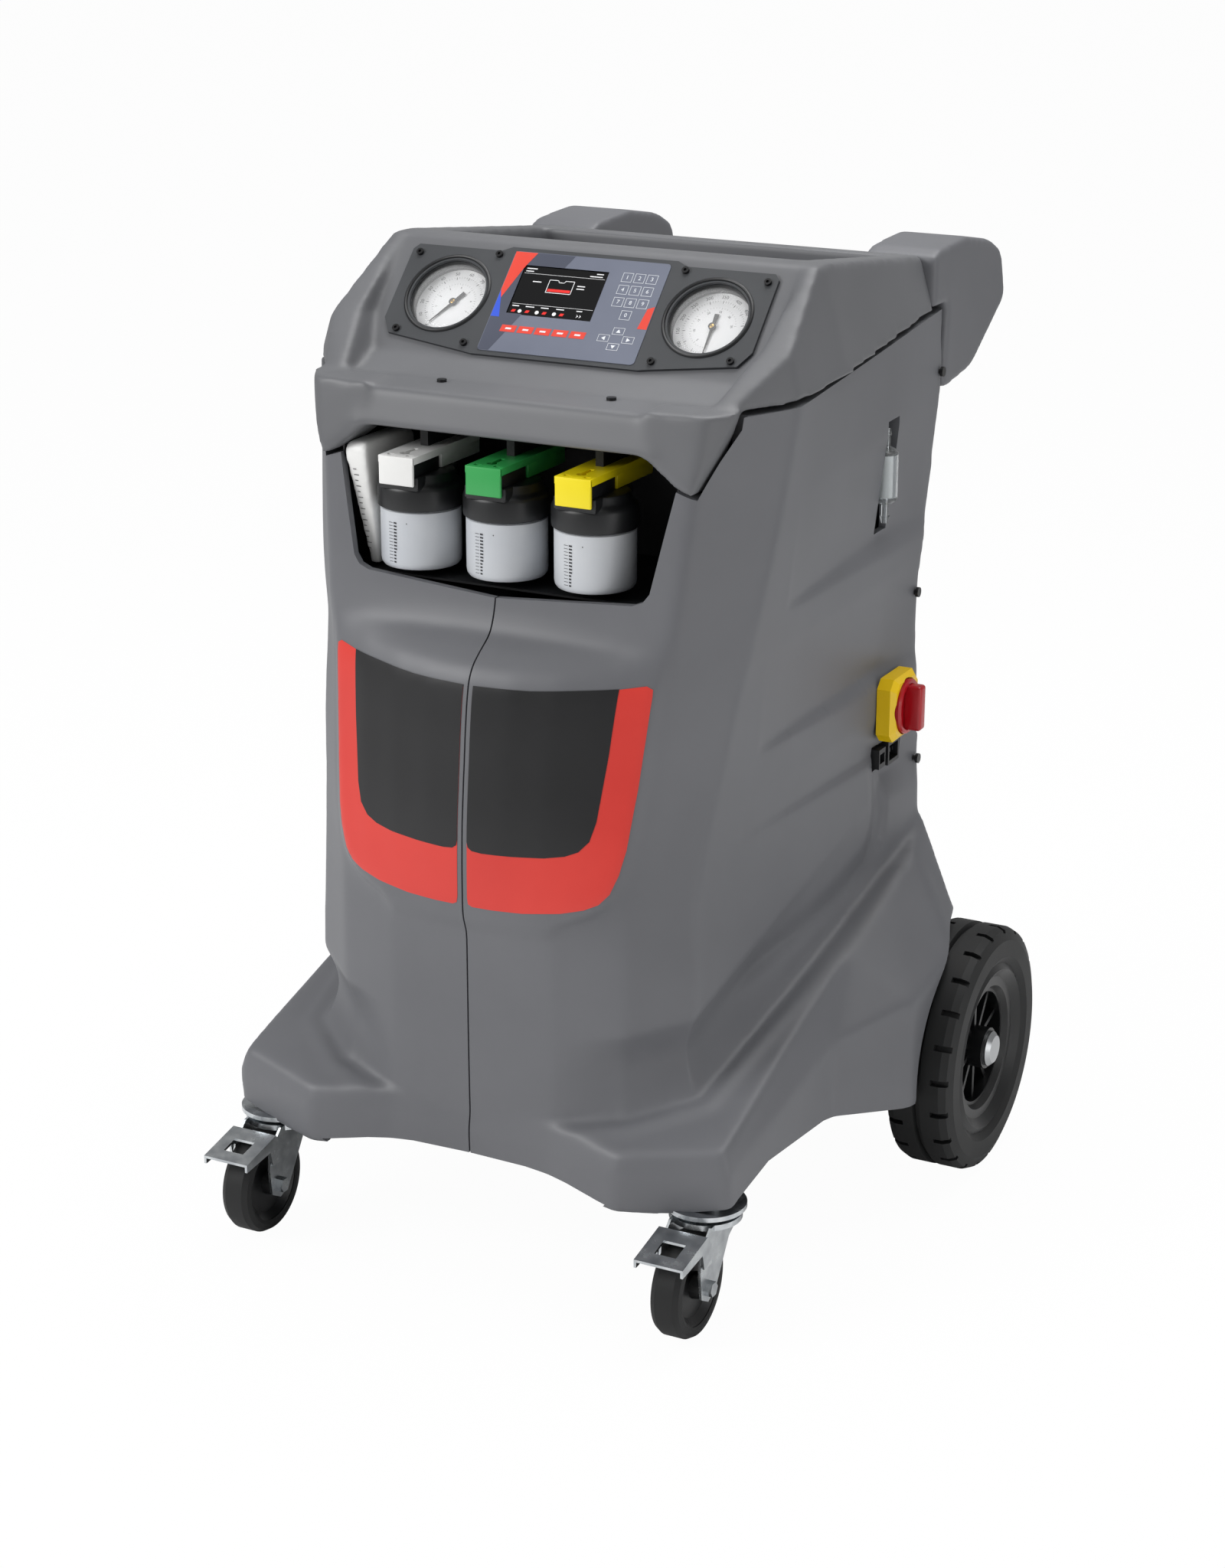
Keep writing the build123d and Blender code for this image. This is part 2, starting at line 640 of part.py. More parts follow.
# Rear axle
# One steel bar in the beam, with a shoulder inside each wheel and a pressed cap outside it.
shoulder_diameter = 30.0
cap_outer_x = 352.0
wheel_cap_thickness = 7.0
wheel_cap_diameter = 36.0
hub_outer_x = cap_outer_x - wheel_cap_thickness - fit
hub_inner_x = wheel_centre_x - wheel_width / 2 - 3
axle = rod_x(axle_diameter, -hub_outer_x - fit, hub_outer_x + fit, rear_axle_y, wheel_radius)
axle_parts = []
for side in sides:
    shoulder = sorted((side * beam_half_length, side * (hub_inner_x - fit)))
    axle += rod_x(shoulder_diameter, *shoulder, rear_axle_y, wheel_radius)
    cap_half = wheel_cap_diameter / 2
    cap_points = [(0, 0), (cap_half, 0), (cap_half, 3), (cap_half - 4, wheel_cap_thickness),
                  (0, wheel_cap_thickness)]
    cap = turned_x(cap_points, hub_outer_x + fit, rear_axle_y, wheel_radius)
    axle_parts.append(cap if side > 0 else mirrored(cap))
axle_parts.append(axle)
save("rear_axle", Compound(axle_parts))

# Rear wheels
# Solid rubber tyre with a centre groove and shoulder notches, on a black spoked plastic rim.
half_width = wheel_width / 2
rim_radius = rim_diameter / 2
tyre_half = [(rim_radius, half_width - 5), (rim_radius + 7, half_width), (wheel_radius - 13, half_width),
             (wheel_radius - 3, half_width - 4), (wheel_radius, half_width - 11), (wheel_radius, 4),
             (wheel_radius - 5, 2)]
tyre_points = tyre_half + [(radius, -offset_x) for radius, offset_x in reversed(tyre_half)]
tyre = turned_x(tyre_points, wheel_centre_x, rear_axle_y, wheel_radius)
notch_count = 22
notch_width = 6.0
notch_depth = 6.0
notch_length = 20.0
notch = Box(notch_length * 2, notch_width, notch_depth * 2)
for index in range(notch_count):
    for side in sides:
        angle = 360 / notch_count * (index + side / 4)
        spot = Rot(angle, 0, 0) * Pos(side * half_width, 0, wheel_radius)
        tyre -= Pos(wheel_centre_x, rear_axle_y, wheel_radius) * spot * notch
save("right_tyre", tyre)
save("left_tyre", mirrored(tyre))

hub_diameter = 42.0
spoke_count = 10
spoke_thickness = 5.0
rim_inner_radius = 60.0
rim_points = [(rim_inner_radius - 3, -22), (rim_radius - 8, -32), (rim_radius, half_width * -1 + 5),
              (rim_radius, half_width - 5), (rim_radius - 6, 33), (rim_radius - 15, 26),
              (rim_inner_radius + 4, 26), (rim_inner_radius, 20), (rim_inner_radius - 3, 20)]
rim = turned_x(rim_points, wheel_centre_x, rear_axle_y, wheel_radius)
rim += rod_x(hub_diameter, hub_inner_x, hub_outer_x, rear_axle_y, wheel_radius)
rim += rod_x(2 * rim_inner_radius, wheel_centre_x - 12, wheel_centre_x - 7, rear_axle_y, wheel_radius)
spoke_length = rim_inner_radius - hub_diameter / 2 + 2
for index in range(spoke_count):
    spot = Rot(360 / spoke_count * index, 0, 0) * Pos(0, 0, hub_diameter / 2 - 1 + spoke_length / 2)
    rim += Pos(wheel_centre_x, rear_axle_y, wheel_radius) * spot * Box(28, spoke_thickness, spoke_length)
rim -= rod_x(axle_diameter + 2 * running_fit, 200, 400, rear_axle_y, wheel_radius)
save("right_rim", rim)
save("left_rim", mirrored(rim))

# Castors
# Each castor hangs on one bolt through the floor plate: a dished bearing ring with its king pin,
# a pressed fork, a rubber wheel on an axle bolt, and a brake pedal hinged on the fork.
ring_bottom = 108.0
spacer_diameter = 30.0
fork_plate_thickness = 5.4
pin_diameter = 12.0
pin_head_diameter = 20.0
pin_head_height = 5.0
fork_leg_inner = 19.0
fork_leg_thickness = 2.5
fork_top_diameter = 68.0
axle_bolt_diameter = 8.0
bolt_head_size = 7.5
pedal_pivot_y = castor_wheel_y - 7
pedal_pivot_z = 84.0
pedal_pin_diameter = 6.0
pedal_gap = 0.5
pedal_thickness = 2.5
pedal_tip_y = -403.0
fork_top = ring_bottom - fit
fork_low = fork_top - fork_plate_thickness
swivel = (castor_x, castor_swivel_y)

ring_radius = castor_ring_diameter / 2
ring_top = shell_bottom - 0.5
rings = turned([(0, ring_bottom), (26, ring_bottom), (ring_radius, ring_bottom + 5),
                (ring_radius, ring_top), (spacer_diameter / 2, ring_top),
                (spacer_diameter / 2, castor_height), (0, castor_height)], *swivel, 0)
rings += rod_z(pin_diameter, fork_low - 1, ring_bottom + 1, *swivel)
rings += rod_z(pin_head_diameter, fork_low - fit - pin_head_height, fork_low - fit, *swivel)
rings += rod_z(castor_bolt_diameter, castor_height - 1, chassis_top + 14, *swivel)
nut = extrude(Pos(*swivel, chassis_top) * RegularPolygon(11, 6), 10)
nut -= rod_z(castor_bolt_diameter, chassis_top - 1, chassis_top + 20, *swivel)
save("castor_bearings", Compound([rings, nut, mirrored(rings), mirrored(nut)]))

leg_outline = [(castor_swivel_y - 33, fork_top), (castor_swivel_y + 31, fork_top),
               (castor_swivel_y + 33, 98), (castor_swivel_y + 5, 84), (castor_wheel_y + 15, 42),
               (castor_wheel_y, 36), (castor_wheel_y - 14, 44), (castor_wheel_y - 17, 70),
               (castor_wheel_y - 15, 90)]
fork = rod_z(fork_top_diameter, fork_low, fork_top, *swivel)
for side in sides:
    leg = sorted((castor_x + side * fork_leg_inner, castor_x + side * (fork_leg_inner + fork_leg_thickness)))
    fork += side_prism(leg_outline, *leg)
fork -= rod_z(pin_diameter + 2 * running_fit, 90, 120, *swivel)
fork -= rod_x(axle_bolt_diameter, castor_x - 40, castor_x + 40, castor_wheel_y, castor_radius)
fork -= rod_x(pedal_pin_diameter + 2 * running_fit, castor_x - 40, castor_x + 40,
              pedal_pivot_y, pedal_pivot_z)

fork_outer = fork_leg_inner + fork_leg_thickness
bolt = rod_x(axle_bolt_diameter, castor_x - fork_outer, castor_x + fork_outer, castor_wheel_y,
             castor_radius)
hexagon = RegularPolygon(bolt_head_size, 6)
for side in sides:
    head_plane = Plane(origin=(castor_x + side * fork_outer, castor_wheel_y, castor_radius),
                       x_dir=(0, 1, 0), z_dir=(side, 0, 0))
    bolt += extrude(head_plane * hexagon, 6)
save("right_castor_fork", Compound([fork, bolt]))
save("left_castor_fork", Compound([mirrored(fork), mirrored(bolt)]))

castor_hub_radius = 38.0
castor_half = castor_wheel_width / 2
castor_tyre = turned_x([(castor_hub_radius, -castor_half + 1), (castor_hub_radius + 3, -castor_half),
                        (castor_radius - 3, -castor_half + 1), (castor_radius, -castor_half + 6),
                        (castor_radius, castor_half - 6), (castor_radius - 3, castor_half - 1),
                        (castor_hub_radius + 3, castor_half), (castor_hub_radius, castor_half - 1)],
                       castor_x, castor_wheel_y, castor_radius)
save("right_castor_tyre", castor_tyre)
save("left_castor_tyre", mirrored(castor_tyre))
hub_half = fork_leg_inner - fit
bore_radius = axle_bolt_diameter / 2 + running_fit
castor_hub = turned_x([(bore_radius, -hub_half), (11, -hub_half), (13, -8), (31, -7),
                       (castor_hub_radius, -castor_half + 2), (castor_hub_radius, castor_half - 2),
                       (31, 7), (13, 8), (11, hub_half), (bore_radius, hub_half)],
                      castor_x, castor_wheel_y, castor_radius)
save("right_castor_hub", castor_hub)
save("left_castor_hub", mirrored(castor_hub))

ear_inner = fork_outer + pedal_gap
ear_outer = ear_inner + pedal_thickness
ear_profile = [(pedal_pivot_y + 8, pedal_pivot_z - 8), (pedal_pivot_y + 8, pedal_pivot_z + 10),
               (pedal_pivot_y - 2, 106), (pedal_tip_y, 96), (pedal_tip_y, 88),
               (pedal_pivot_y - 12, 92), (pedal_pivot_y - 8, pedal_pivot_z - 8)]
pedal = side_prism([(pedal_pivot_y - 2, 106), (pedal_tip_y, 96), (pedal_tip_y, 93.5),
                    (pedal_pivot_y - 2, 103.5)], castor_x - ear_outer, castor_x + ear_outer)
pedal -= block((castor_x - 11, castor_x + 11), (pedal_tip_y + 14, pedal_tip_y + 34), (80, 120))
for side in sides:
    ear_x = sorted((castor_x + side * ear_inner, castor_x + side * ear_outer))
    pedal += side_prism(ear_profile, *ear_x)
    pin_x = sorted((castor_x + side * (fork_leg_inner + fit), castor_x + side * ear_outer))
    pedal += rod_x(pedal_pin_diameter, *pin_x, pedal_pivot_y, pedal_pivot_z)
save("right_brake_pedal", pedal)
save("left_brake_pedal", mirrored(pedal))

# Handles
# Two moulded horns at the back: each is a grip to push the cart with and a hook for the hoses.
handle_root_gap = 0.3
handle_saddle_z = hood_seam + 24
handle_foot_z = 771.0       # where the horn's underside meets the leaning back
handle_side = [(handle_front_y, handle_saddle_z), (handle_front_y, rim_rear_height - 5), (224, 909),
               (290, 912), (356, 900), (391, 884), (405, 834), (315, 777),
               (rear_y(handle_foot_z) + 12, handle_foot_z - 3),
               (rear_y(handle_foot_z) + handle_root_gap, handle_foot_z),
               (rear_y(handle_saddle_z) + handle_root_gap, handle_saddle_z)]
handle_edge = 7.0
handle = extrude(Plane.YZ.offset(handle_inner_x) * make_face(Polyline(handle_side, close=True)),
                 handle_outer_x - handle_inner_x)
handle = chamfer(handle.edges().filter_by(Axis.X).sort_by(Axis.Y)[-4:], handle_edge)
handle_bolt_levels = (801.0, 830.0)
handle_bolt_x = post_half_spacing
handle_bolt_diameter = 8.0
handle_bolt_depth = 24.0
panel_holes = []
bolts = []
for level in handle_bolt_levels:
    post_face = rear_y(level) - panel_thickness - post_width
    handle -= rod_y(handle_bolt_diameter, 200, rear_y(level) + handle_bolt_depth, handle_bolt_x, level)
    hole = rod_y(handle_bolt_diameter, 150, 300, handle_bolt_x, level)
    panel_holes += [hole, mirrored(hole)]
    handle_bolt = rod_y(handle_bolt_diameter, post_face - 3, rear_y(level) + handle_bolt_depth,
                        handle_bolt_x, level)
    handle_bolt += rod_y(14, post_face - 8, post_face - 3, handle_bolt_x, level)
    bolts += [handle_bolt, mirrored(handle_bolt)]
save("right_handle", handle)
save("left_handle", mirrored(handle))
for hole in panel_holes:
    chassis -= hole

# Rear panel
# Sheet steel between the shells, screwed to the posts, with fan louvres and two hose ports.
panel_half_width = post_half_spacing + post_width / 2 + 3.7
panel_bottom = chassis_top + 3
panel_top = hood_seam + 16
panel = side_prism(rear_strip(panel_bottom, panel_top, 0, panel_thickness),
                   -panel_half_width, panel_half_width)
fan_x = 95.0
fan_z = 232.0
fan_size = 120.0
louvre_count = 7
louvre_pitch = 14.0
for index in range(louvre_count):
    level = fan_z + (index - (louvre_count - 1) / 2) * louvre_pitch
    panel -= block((fan_x - 45, fan_x + 45), (150, 250), (level - 4, level + 4))
for hole in panel_holes:
    panel -= hole
port_x = 45.0
port_z = 572.0
port_hole_diameter = 18.0
for side in sides:
    panel -= rod_y(port_hole_diameter, 150, 250, side * port_x, port_z)
save("rear_panel", panel)

# Front decals
# A thin printed film on each shell half, following the curved front.
decal_thickness = 0.4
glue_thickness = 0.1
decal_outline = [(5, 580), (80, 582), (134, 586), (163, 592), (156, 500), (148, 440), (136, 402),
                 (112, 384), (60, 374), (5, 372)]
decal_band = column(-glue_thickness - decal_thickness) - column(-glue_thickness)
right_decal = decal_band & front_prism(decal_outline, -420, -250)
save("right_decal", right_decal)
save("left_decal", mirrored(right_decal))

# Bottle bay
# A black liner box stands on the shelf frame; three rails under its top plate hold the bottles.
liner_half = 172.0
liner_front = -250.0
liner_back = -88.0
liner_top = nose_bottom - 3
liner_wall = 2.0
liner = block((-liner_half, liner_half), (liner_front, liner_back),
              (bay_floor - liner_wall, liner_top))
liner -= block((-liner_half + liner_wall, liner_half - liner_wall),
               (liner_front - 1, liner_back - liner_wall), (bay_floor, liner_top + 1))
save("bay_liner", liner)

cap_top = jar_bottom + jar_height + cap_height
latch_height = 19.0
latch_width = 36.0
latch_rear = -150.0
latch_front = bottle_y - cap_diameter / 2 - fit - 3.5
rail_front = -222.0
rail_flange = 20.0
rail_flange_height = 5.0
rail_web = 8.0
rail_low = cap_top + 7
slide_gap = 0.3
dock_plate_low = liner_top - 5
bottle_spots = [bottle_middle_x + bottle_spacing * index for index in (-1, 0, 1)]
dock_back = liner_back - liner_wall
dock = block((bottle_spots[0] - 30, bottle_spots[-1] + 30), (rail_front, dock_back),
             (dock_plate_low, liner_top))
for x in bottle_spots:
    dock += block((x - rail_flange / 2, x + rail_flange / 2), (rail_front, dock_back),
                  (rail_low, rail_low + rail_flange_height))
    dock += block((x - rail_web / 2, x + rail_web / 2), (rail_front, dock_back),
                  (rail_low, dock_plate_low + 1))
save("bottle_dock", dock)

neck_diameter = jar_diameter - 8
neck_height = 14.0
jar_radius = jar_diameter / 2
neck_radius = neck_diameter / 2
jar_top = jar_bottom + jar_height
tag_height = 32.0
for name, x in zip(("first", "second", "third"), bottle_spots):
    jar = turned([(0, jar_bottom), (jar_radius - 4, jar_bottom), (jar_radius, jar_bottom + 4),
                  (jar_radius, jar_top), (neck_radius, jar_top), (neck_radius, jar_top + neck_height),
                  (neck_radius - jar_wall, jar_top + neck_height), (neck_radius - jar_wall, jar_top - 3),
                  (jar_radius - jar_wall, jar_top - 6), (jar_radius - jar_wall, jar_bottom + 5),
                  (jar_radius - 5, jar_bottom + 2), (0, jar_bottom + 2)], x, bottle_y, 0)
    save(name + "_jar", jar)
    cap_radius = cap_diameter / 2
    cap = turned([(0, jar_top + neck_height), (neck_radius, jar_top + neck_height),
                  (neck_radius, jar_top), (cap_radius, jar_top), (cap_radius, jar_top + 24),
                  (cap_radius - 8, cap_top), (0, cap_top)], x, bottle_y, 0)
    save(name + "_cap", cap)
    latch_x = (x - latch_width / 2, x + latch_width / 2)
    latch = block(latch_x, (latch_front, latch_rear), (cap_top, cap_top + latch_height))
    latch += block(latch_x, (latch_front, latch_front + 3.5),
                   (cap_top + latch_height - tag_height, cap_top + latch_height))
    slot_half = rail_flange / 2 + slide_gap
    neck_half = rail_web / 2 + slide_gap
    slot_y = (rail_front - slide_gap, latch_rear + 1)
    latch -= block((x - slot_half, x + slot_half), slot_y,
                   (rail_low - slide_gap, rail_low + rail_flange_height + slide_gap))
    latch -= block((x - neck_half, x + neck_half), slot_y, (rail_low, cap_top + latch_height + 1))
    save(name + "_latch", latch)

waste_outline = [(-168, -186), (-126, -186), (-126, -96), (-168, -96)]
waste_height = 112.0
waste_body = loft([Pos(0, 0, bay_floor) * make_face(Polyline(inset(waste_outline, 6), close=True)),
                   Pos(0, 0, bay_floor + waste_height)
                   * make_face(Polyline(waste_outline, close=True))], ruled=True)
waste_body += rod_z(24, bay_floor + waste_height - 1, bay_floor + waste_height + 14, -147, -141)
save("waste_bottle", waste_body)

# Mains switch and inlet
# A square plate and a turning handle outside, the contact block inside; below them a mains
# inlet and a small service socket share one cut-out.
switch_size = 65.0
seat_x = side_x - 0.5
plate_x = seat_x + 8
switch_spindle = 10.0
seat = block((seat_x, seat_x + 20), (switch_y - switch_size / 2, switch_y + switch_size / 2),
             (switch_z - switch_size / 2, switch_z + switch_size / 2))
right_shell -= seat
switch_plate = block((seat_x, plate_x), (switch_y - switch_size / 2, switch_y + switch_size / 2),
                     (switch_z - switch_size / 2, switch_z + switch_size / 2))
switch_plate = chamfer(switch_plate.edges().filter_by(Axis.X), 6)
switch_plate += rod_x(54, plate_x - 1, plate_x + 5, switch_y, switch_z)
switch_plate += rod_x(39, seat_x - 14, seat_x + 1, switch_y, switch_z)
switch_plate += block((seat_x - 48, seat_x - 13), (switch_y - 24, switch_y + 24),
                      (switch_z - 24, switch_z + 24))
switch_plate -= rod_x(switch_spindle + 2 * running_fit, seat_x - 30, plate_x + 6, switch_y, switch_z)
save("switch_plate", switch_plate)
knob_low = plate_x + 5 + fit
knob = rod_x(46, knob_low, knob_low + 7, switch_y, switch_z)
knob += block((knob_low, knob_low + 24), (switch_y - 8, switch_y + 8), (switch_z - 22, switch_z + 22))
knob += rod_x(switch_spindle, seat_x - 28, knob_low + 1, switch_y, switch_z)
save("switch_knob", knob)

inlet_z = switch_z - inlet_drop
inlet_y = switch_y + 10
inlet = block((side_x - 34, side_x + 2), (inlet_y - 14, inlet_y + 14), (inlet_z - 12, inlet_z + 12))
inlet -= block((side_x - 12, side_x + 3), (inlet_y - 11, inlet_y + 11), (inlet_z - 8, inlet_z + 8))
for offset_y in (-7, 0, 7):
    inlet += block((side_x - 13, side_x - 2), (inlet_y + offset_y - 1, inlet_y + offset_y + 1),
                   (inlet_z - 2, inlet_z + 2))
socket_y = switch_y - 18
socket = block((side_x - 24, side_x + 1.5), (socket_y - 8, socket_y + 8), (inlet_z - 10, inlet_z + 10))
socket -= block((side_x - 10, side_x + 3), (socket_y - 6, socket_y + 6), (inlet_z - 5, inlet_z + 5))
flange_seat = side_x - 8.7    # just behind the shell's inner face, which dips here with a flute
inlet_flange = block((flange_seat - 2, flange_seat), (switch_y - 31, switch_y + 33),
                     (inlet_z - 15, inlet_z + 15))
inlet_flange -= block((side_x - 40, side_x + 5), (inlet_y - 14, inlet_y + 14),
                      (inlet_z - 12, inlet_z + 12))
inlet_flange -= block((side_x - 40, side_x + 5), (socket_y - 8, socket_y + 8),
                      (inlet_z - 10, inlet_z + 10))
save("mains_inlet", Compound([inlet, socket, inlet_flange]))

# Inline filter
# A clear cylinder with a barb at each end stands in a slot of the right shell, held by a clip.
filter_x = side_x - 2
bowl_diameter = 24.0
bowl_height = 46.0
barb_height = 24.0
bowl_radius = bowl_diameter / 2
bowl_half = bowl_height / 2
barb_low = (3.4, bowl_half + barb_height)
filter_points = [(1.8, bowl_half - 2), (1.8, barb_low[1]), barb_low, (5, bowl_half + 17),
                 (3.6, bowl_half + 17), (3.6, bowl_half + 6), (bowl_radius - 4, bowl_half + 4),
                 (bowl_radius, bowl_half)]
half_bowl = filter_points + [(bowl_radius, 0), (bowl_radius - 1.6, 0), (bowl_radius - 1.6, bowl_half - 2)]
upper = turned(half_bowl, filter_x, filter_y, filter_z)
lower = turned([(radius, -z) for radius, z in half_bowl], filter_x, filter_y, filter_z)
save("filter_housing", upper + lower)
element = rod_z(14, filter_z - bowl_half + 2, filter_z + bowl_half - 2, filter_x, filter_y)
save("filter_element", element)
clip_back = filter_x - bowl_radius - 3
clip = block((clip_back, filter_x - 2), (filter_y - 14.5, filter_y + 14.5), (filter_z - 8, filter_z + 8))
clip -= rod_z(bowl_diameter, filter_z - 20, filter_z + 20, filter_x, filter_y)
clip_plate = block((clip_back - 3, clip_back), (filter_y - 30, filter_y + 30),
                   (filter_z - 62, filter_z + 62))
clip_plate += block((clip_back, side_x - 7), (filter_y - 30, filter_y - 26),
                    (filter_z - 62, filter_z + 62))
clip_plate += block((clip_back, side_x - 7), (filter_y + 26, filter_y + 30),
                    (filter_z - 62, filter_z + 62))
save("filter_clip", clip + clip_plate)

# Working parts inside the body
tank_x = -98.0
tank_y = 10.0
scale_height = 25.0
tank_bottom = chassis_top + scale_height
tank_radius = tank_diameter / 2
cell = block((tank_x - 15, tank_x + 15), (tank_y - 65, tank_y + 65), (chassis_top + 5, tank_bottom - 5))
scale_base = block((tank_x - 40, tank_x + 40), (tank_y - 80, tank_y - 40), (chassis_top, chassis_top + 5))
scale_top = rod_z(tank_diameter - 10, tank_bottom - 5, tank_bottom, tank_x, tank_y)
save("tank_scale", scale_base + cell + scale_top)
foot_radius = tank_radius - 25
tank = turned([(foot_radius - 3, 0), (foot_radius, 0), (foot_radius, 26), (tank_radius - 8, 34),
               (tank_radius, 52), (tank_radius, tank_height - 45), (tank_radius - 14, tank_height - 20),
               (tank_radius - 50, tank_height - 4), (24, tank_height), (24, tank_height + 10),
               (12, tank_height + 10), (12, tank_height + 40), (0, tank_height + 40), (0, 28),
               (foot_radius - 3, 28)], tank_x, tank_y, tank_bottom)
save("refrigerant_tank", tank)

pump_x = 55.0
pump_y = -190.0
pump_z = chassis_top + 72
pump = rod_x(110, pump_x - 55, pump_x + 75, pump_y, pump_z)
pump += block((pump_x - 85, pump_x - 50), (pump_y - 50, pump_y + 50), (chassis_top + 10, pump_z + 52))
pump += block((pump_x - 85, pump_x + 70), (pump_y - 45, pump_y + 45), (chassis_top, chassis_top + 12))
pump += block((pump_x - 20, pump_x + 40), (pump_y - 30, pump_y + 30), (chassis_top + 10, pump_z))
pump += rod_z(24, pump_z + 40, pump_z + 75, pump_x - 66, pump_y)
save("vacuum_pump", pump)

compressor_x = 110.0
compressor_y = 8.0
compressor = turned([(0, 12), (62, 12), (76, 22), (80, 40), (80, 120), (74, 140), (48, 158), (0, 164)],
                    compressor_x, compressor_y, chassis_top)
for angle in (0, 120, 240):
    foot = Pos(72, 0, 7) * Cylinder(14, 14)
    compressor += Pos(compressor_x, compressor_y, chassis_top) * Rot(0, 0, angle) * foot
compressor += rod_z(12, chassis_top + 150, chassis_top + 190, compressor_x - 20, compressor_y)
save("compressor", compressor)

valve_top = rail_z + 4
manifold_y = (rail_y - 70, rail_y - 22)
manifold = block((-90, 90), manifold_y, (valve_top, valve_top + 50))
for index in range(4):
    coil_x = -66 + 44 * index
    manifold += rod_z(30, valve_top + 49, valve_top + 84, coil_x, sum(manifold_y) / 2)
save("manifold_block", manifold)
ports = []
for side in sides:
    outside = rear_y(port_z)
    port = rod_y(14, manifold_y[1], outside + 24, side * port_x, port_z)
    port += rod_y(17, manifold_y[1], outside + 1, side * port_x, port_z)
    flange_plane = Plane(origin=(side * port_x, outside + 9, port_z), x_dir=(1, 0, 0), z_dir=(0, -1, 0))
    port += extrude(flange_plane * RegularPolygon(13, 6), 8)
    port -= rod_y(6, outside + 4, outside + 30, side * port_x, port_z)
    ports.append(port)
save("hose_ports", Compound(ports))

drier_x = 142.0
drier_low = 330.0
drier_high = 500.0
drier_y = rear_y(420) - 60
drier = rod_z(68, drier_low, drier_high, drier_x, drier_y)
drier += rod_z(14, drier_low - 22, drier_high + 22, drier_x, drier_y)
strap_z = (drier_low + drier_high) / 2
strap = rod_z(74, strap_z - 12, strap_z + 12, drier_x, drier_y) - rod_z(68, 300, 520, drier_x, drier_y)
post_inner = post_half_spacing - post_width / 2
arm_y = rear_y(strap_z + 12) - panel_thickness - post_width
arm = block((drier_x, post_inner + post_width), (arm_y - 4, arm_y), (strap_z - 12, strap_z + 12))
strap = strap + arm - rod_z(68, 300, 520, drier_x, drier_y)
save("filter_drier", Compound([drier, strap]))

fan_back = rear_y(fan_z) - panel_thickness - fit
fan_depth = 25.0
blade_tip = fan_size / 2 - 6
motor_diameter = 36.0
frame = block((fan_x - fan_size / 2, fan_x + fan_size / 2), (fan_back - fan_depth, fan_back),
              (fan_z - fan_size / 2, fan_z + fan_size / 2))
frame -= rod_y(2 * blade_tip + 4, 100, 300, fan_x, fan_z)
frame += rod_y(motor_diameter, fan_back - 5, fan_back, fan_x, fan_z)
for angle in (45, 135):
    arm_plane = Pos(fan_x, fan_back - 2, fan_z) * Rot(0, angle, 0)
    frame += arm_plane * Box(2 * blade_tip + 8, 4, 6)
frame += rod_y(5, fan_back - 18, fan_back - 4, fan_x, fan_z)
save("fan_frame", frame)
rotor = rod_y(motor_diameter, fan_back - 23, fan_back - 6, fan_x, fan_z)
for index in range(7):
    blade = Rot(0, 360 / 7 * index, 0) * Pos(0, 0, (motor_diameter / 2 + blade_tip) / 2 - 1)
    blade = blade * Rot(0, 0, 32) * Box(24, 1.6, blade_tip - motor_diameter / 2 + 1)
    rotor += Pos(fan_x, fan_back - 14, fan_z) * blade
rotor &= rod_y(2 * blade_tip, fan_back - 24, fan_back - 6, fan_x, fan_z)
rotor -= rod_y(5 + 2 * running_fit, fan_back - 19, fan_back, fan_x, fan_z)
save("fan_rotor", rotor)

board_low = bay_floor + 15
board = block((-95, 95), (liner_back + 12, liner_back + 14), (board_low, board_low + 110))
for x in (-85, 85):
    for level in (board_low + 10, board_low + 100):
        board += rod_y(8, liner_back, liner_back + 12.5, x, level)
board += block((-70, -20), (liner_back + 13, liner_back + 45), (board_low + 20, board_low + 80))
board += block((10, 60), (liner_back + 13, liner_back + 32), (board_low + 15, board_low + 55))
board += block((15, 55), (liner_back + 13, liner_back + 24), (board_low + 65, board_low + 95))
save("control_board", board)

# Side screws hold each shell to its rear post; with the console screws and the handle bolts
# they are the fixed fasteners.
side_screw_levels = ((788.0, 227.3), (576.0, 230.2), (400.0, 233.0))
side_screw_diameter = 5.0
for level, face_x in side_screw_levels:
    y = rear_y(level) - panel_thickness - post_width / 2
    shank = rod_x(side_screw_diameter, post_half_spacing + 4, face_x, y, level)
    screw = shank + rod_x(10, face_x, face_x + 3, y, level)
    bolts += [screw, mirrored(screw)]
    hole = rod_x(side_screw_diameter, post_half_spacing + 4, face_x + 20, y, level)
    right_shell -= hole
    left_shell -= mirrored(hole)
    chassis -= hole
    chassis -= mirrored(hole)
save("screws", Compound(console_screws + bolts))
save("left_shell", left_shell)
save("right_shell", right_shell)
save("chassis", chassis)
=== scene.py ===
import json
from math import cos, radians, sin
import bmesh
import bpy
from mathutils import Matrix, Vector

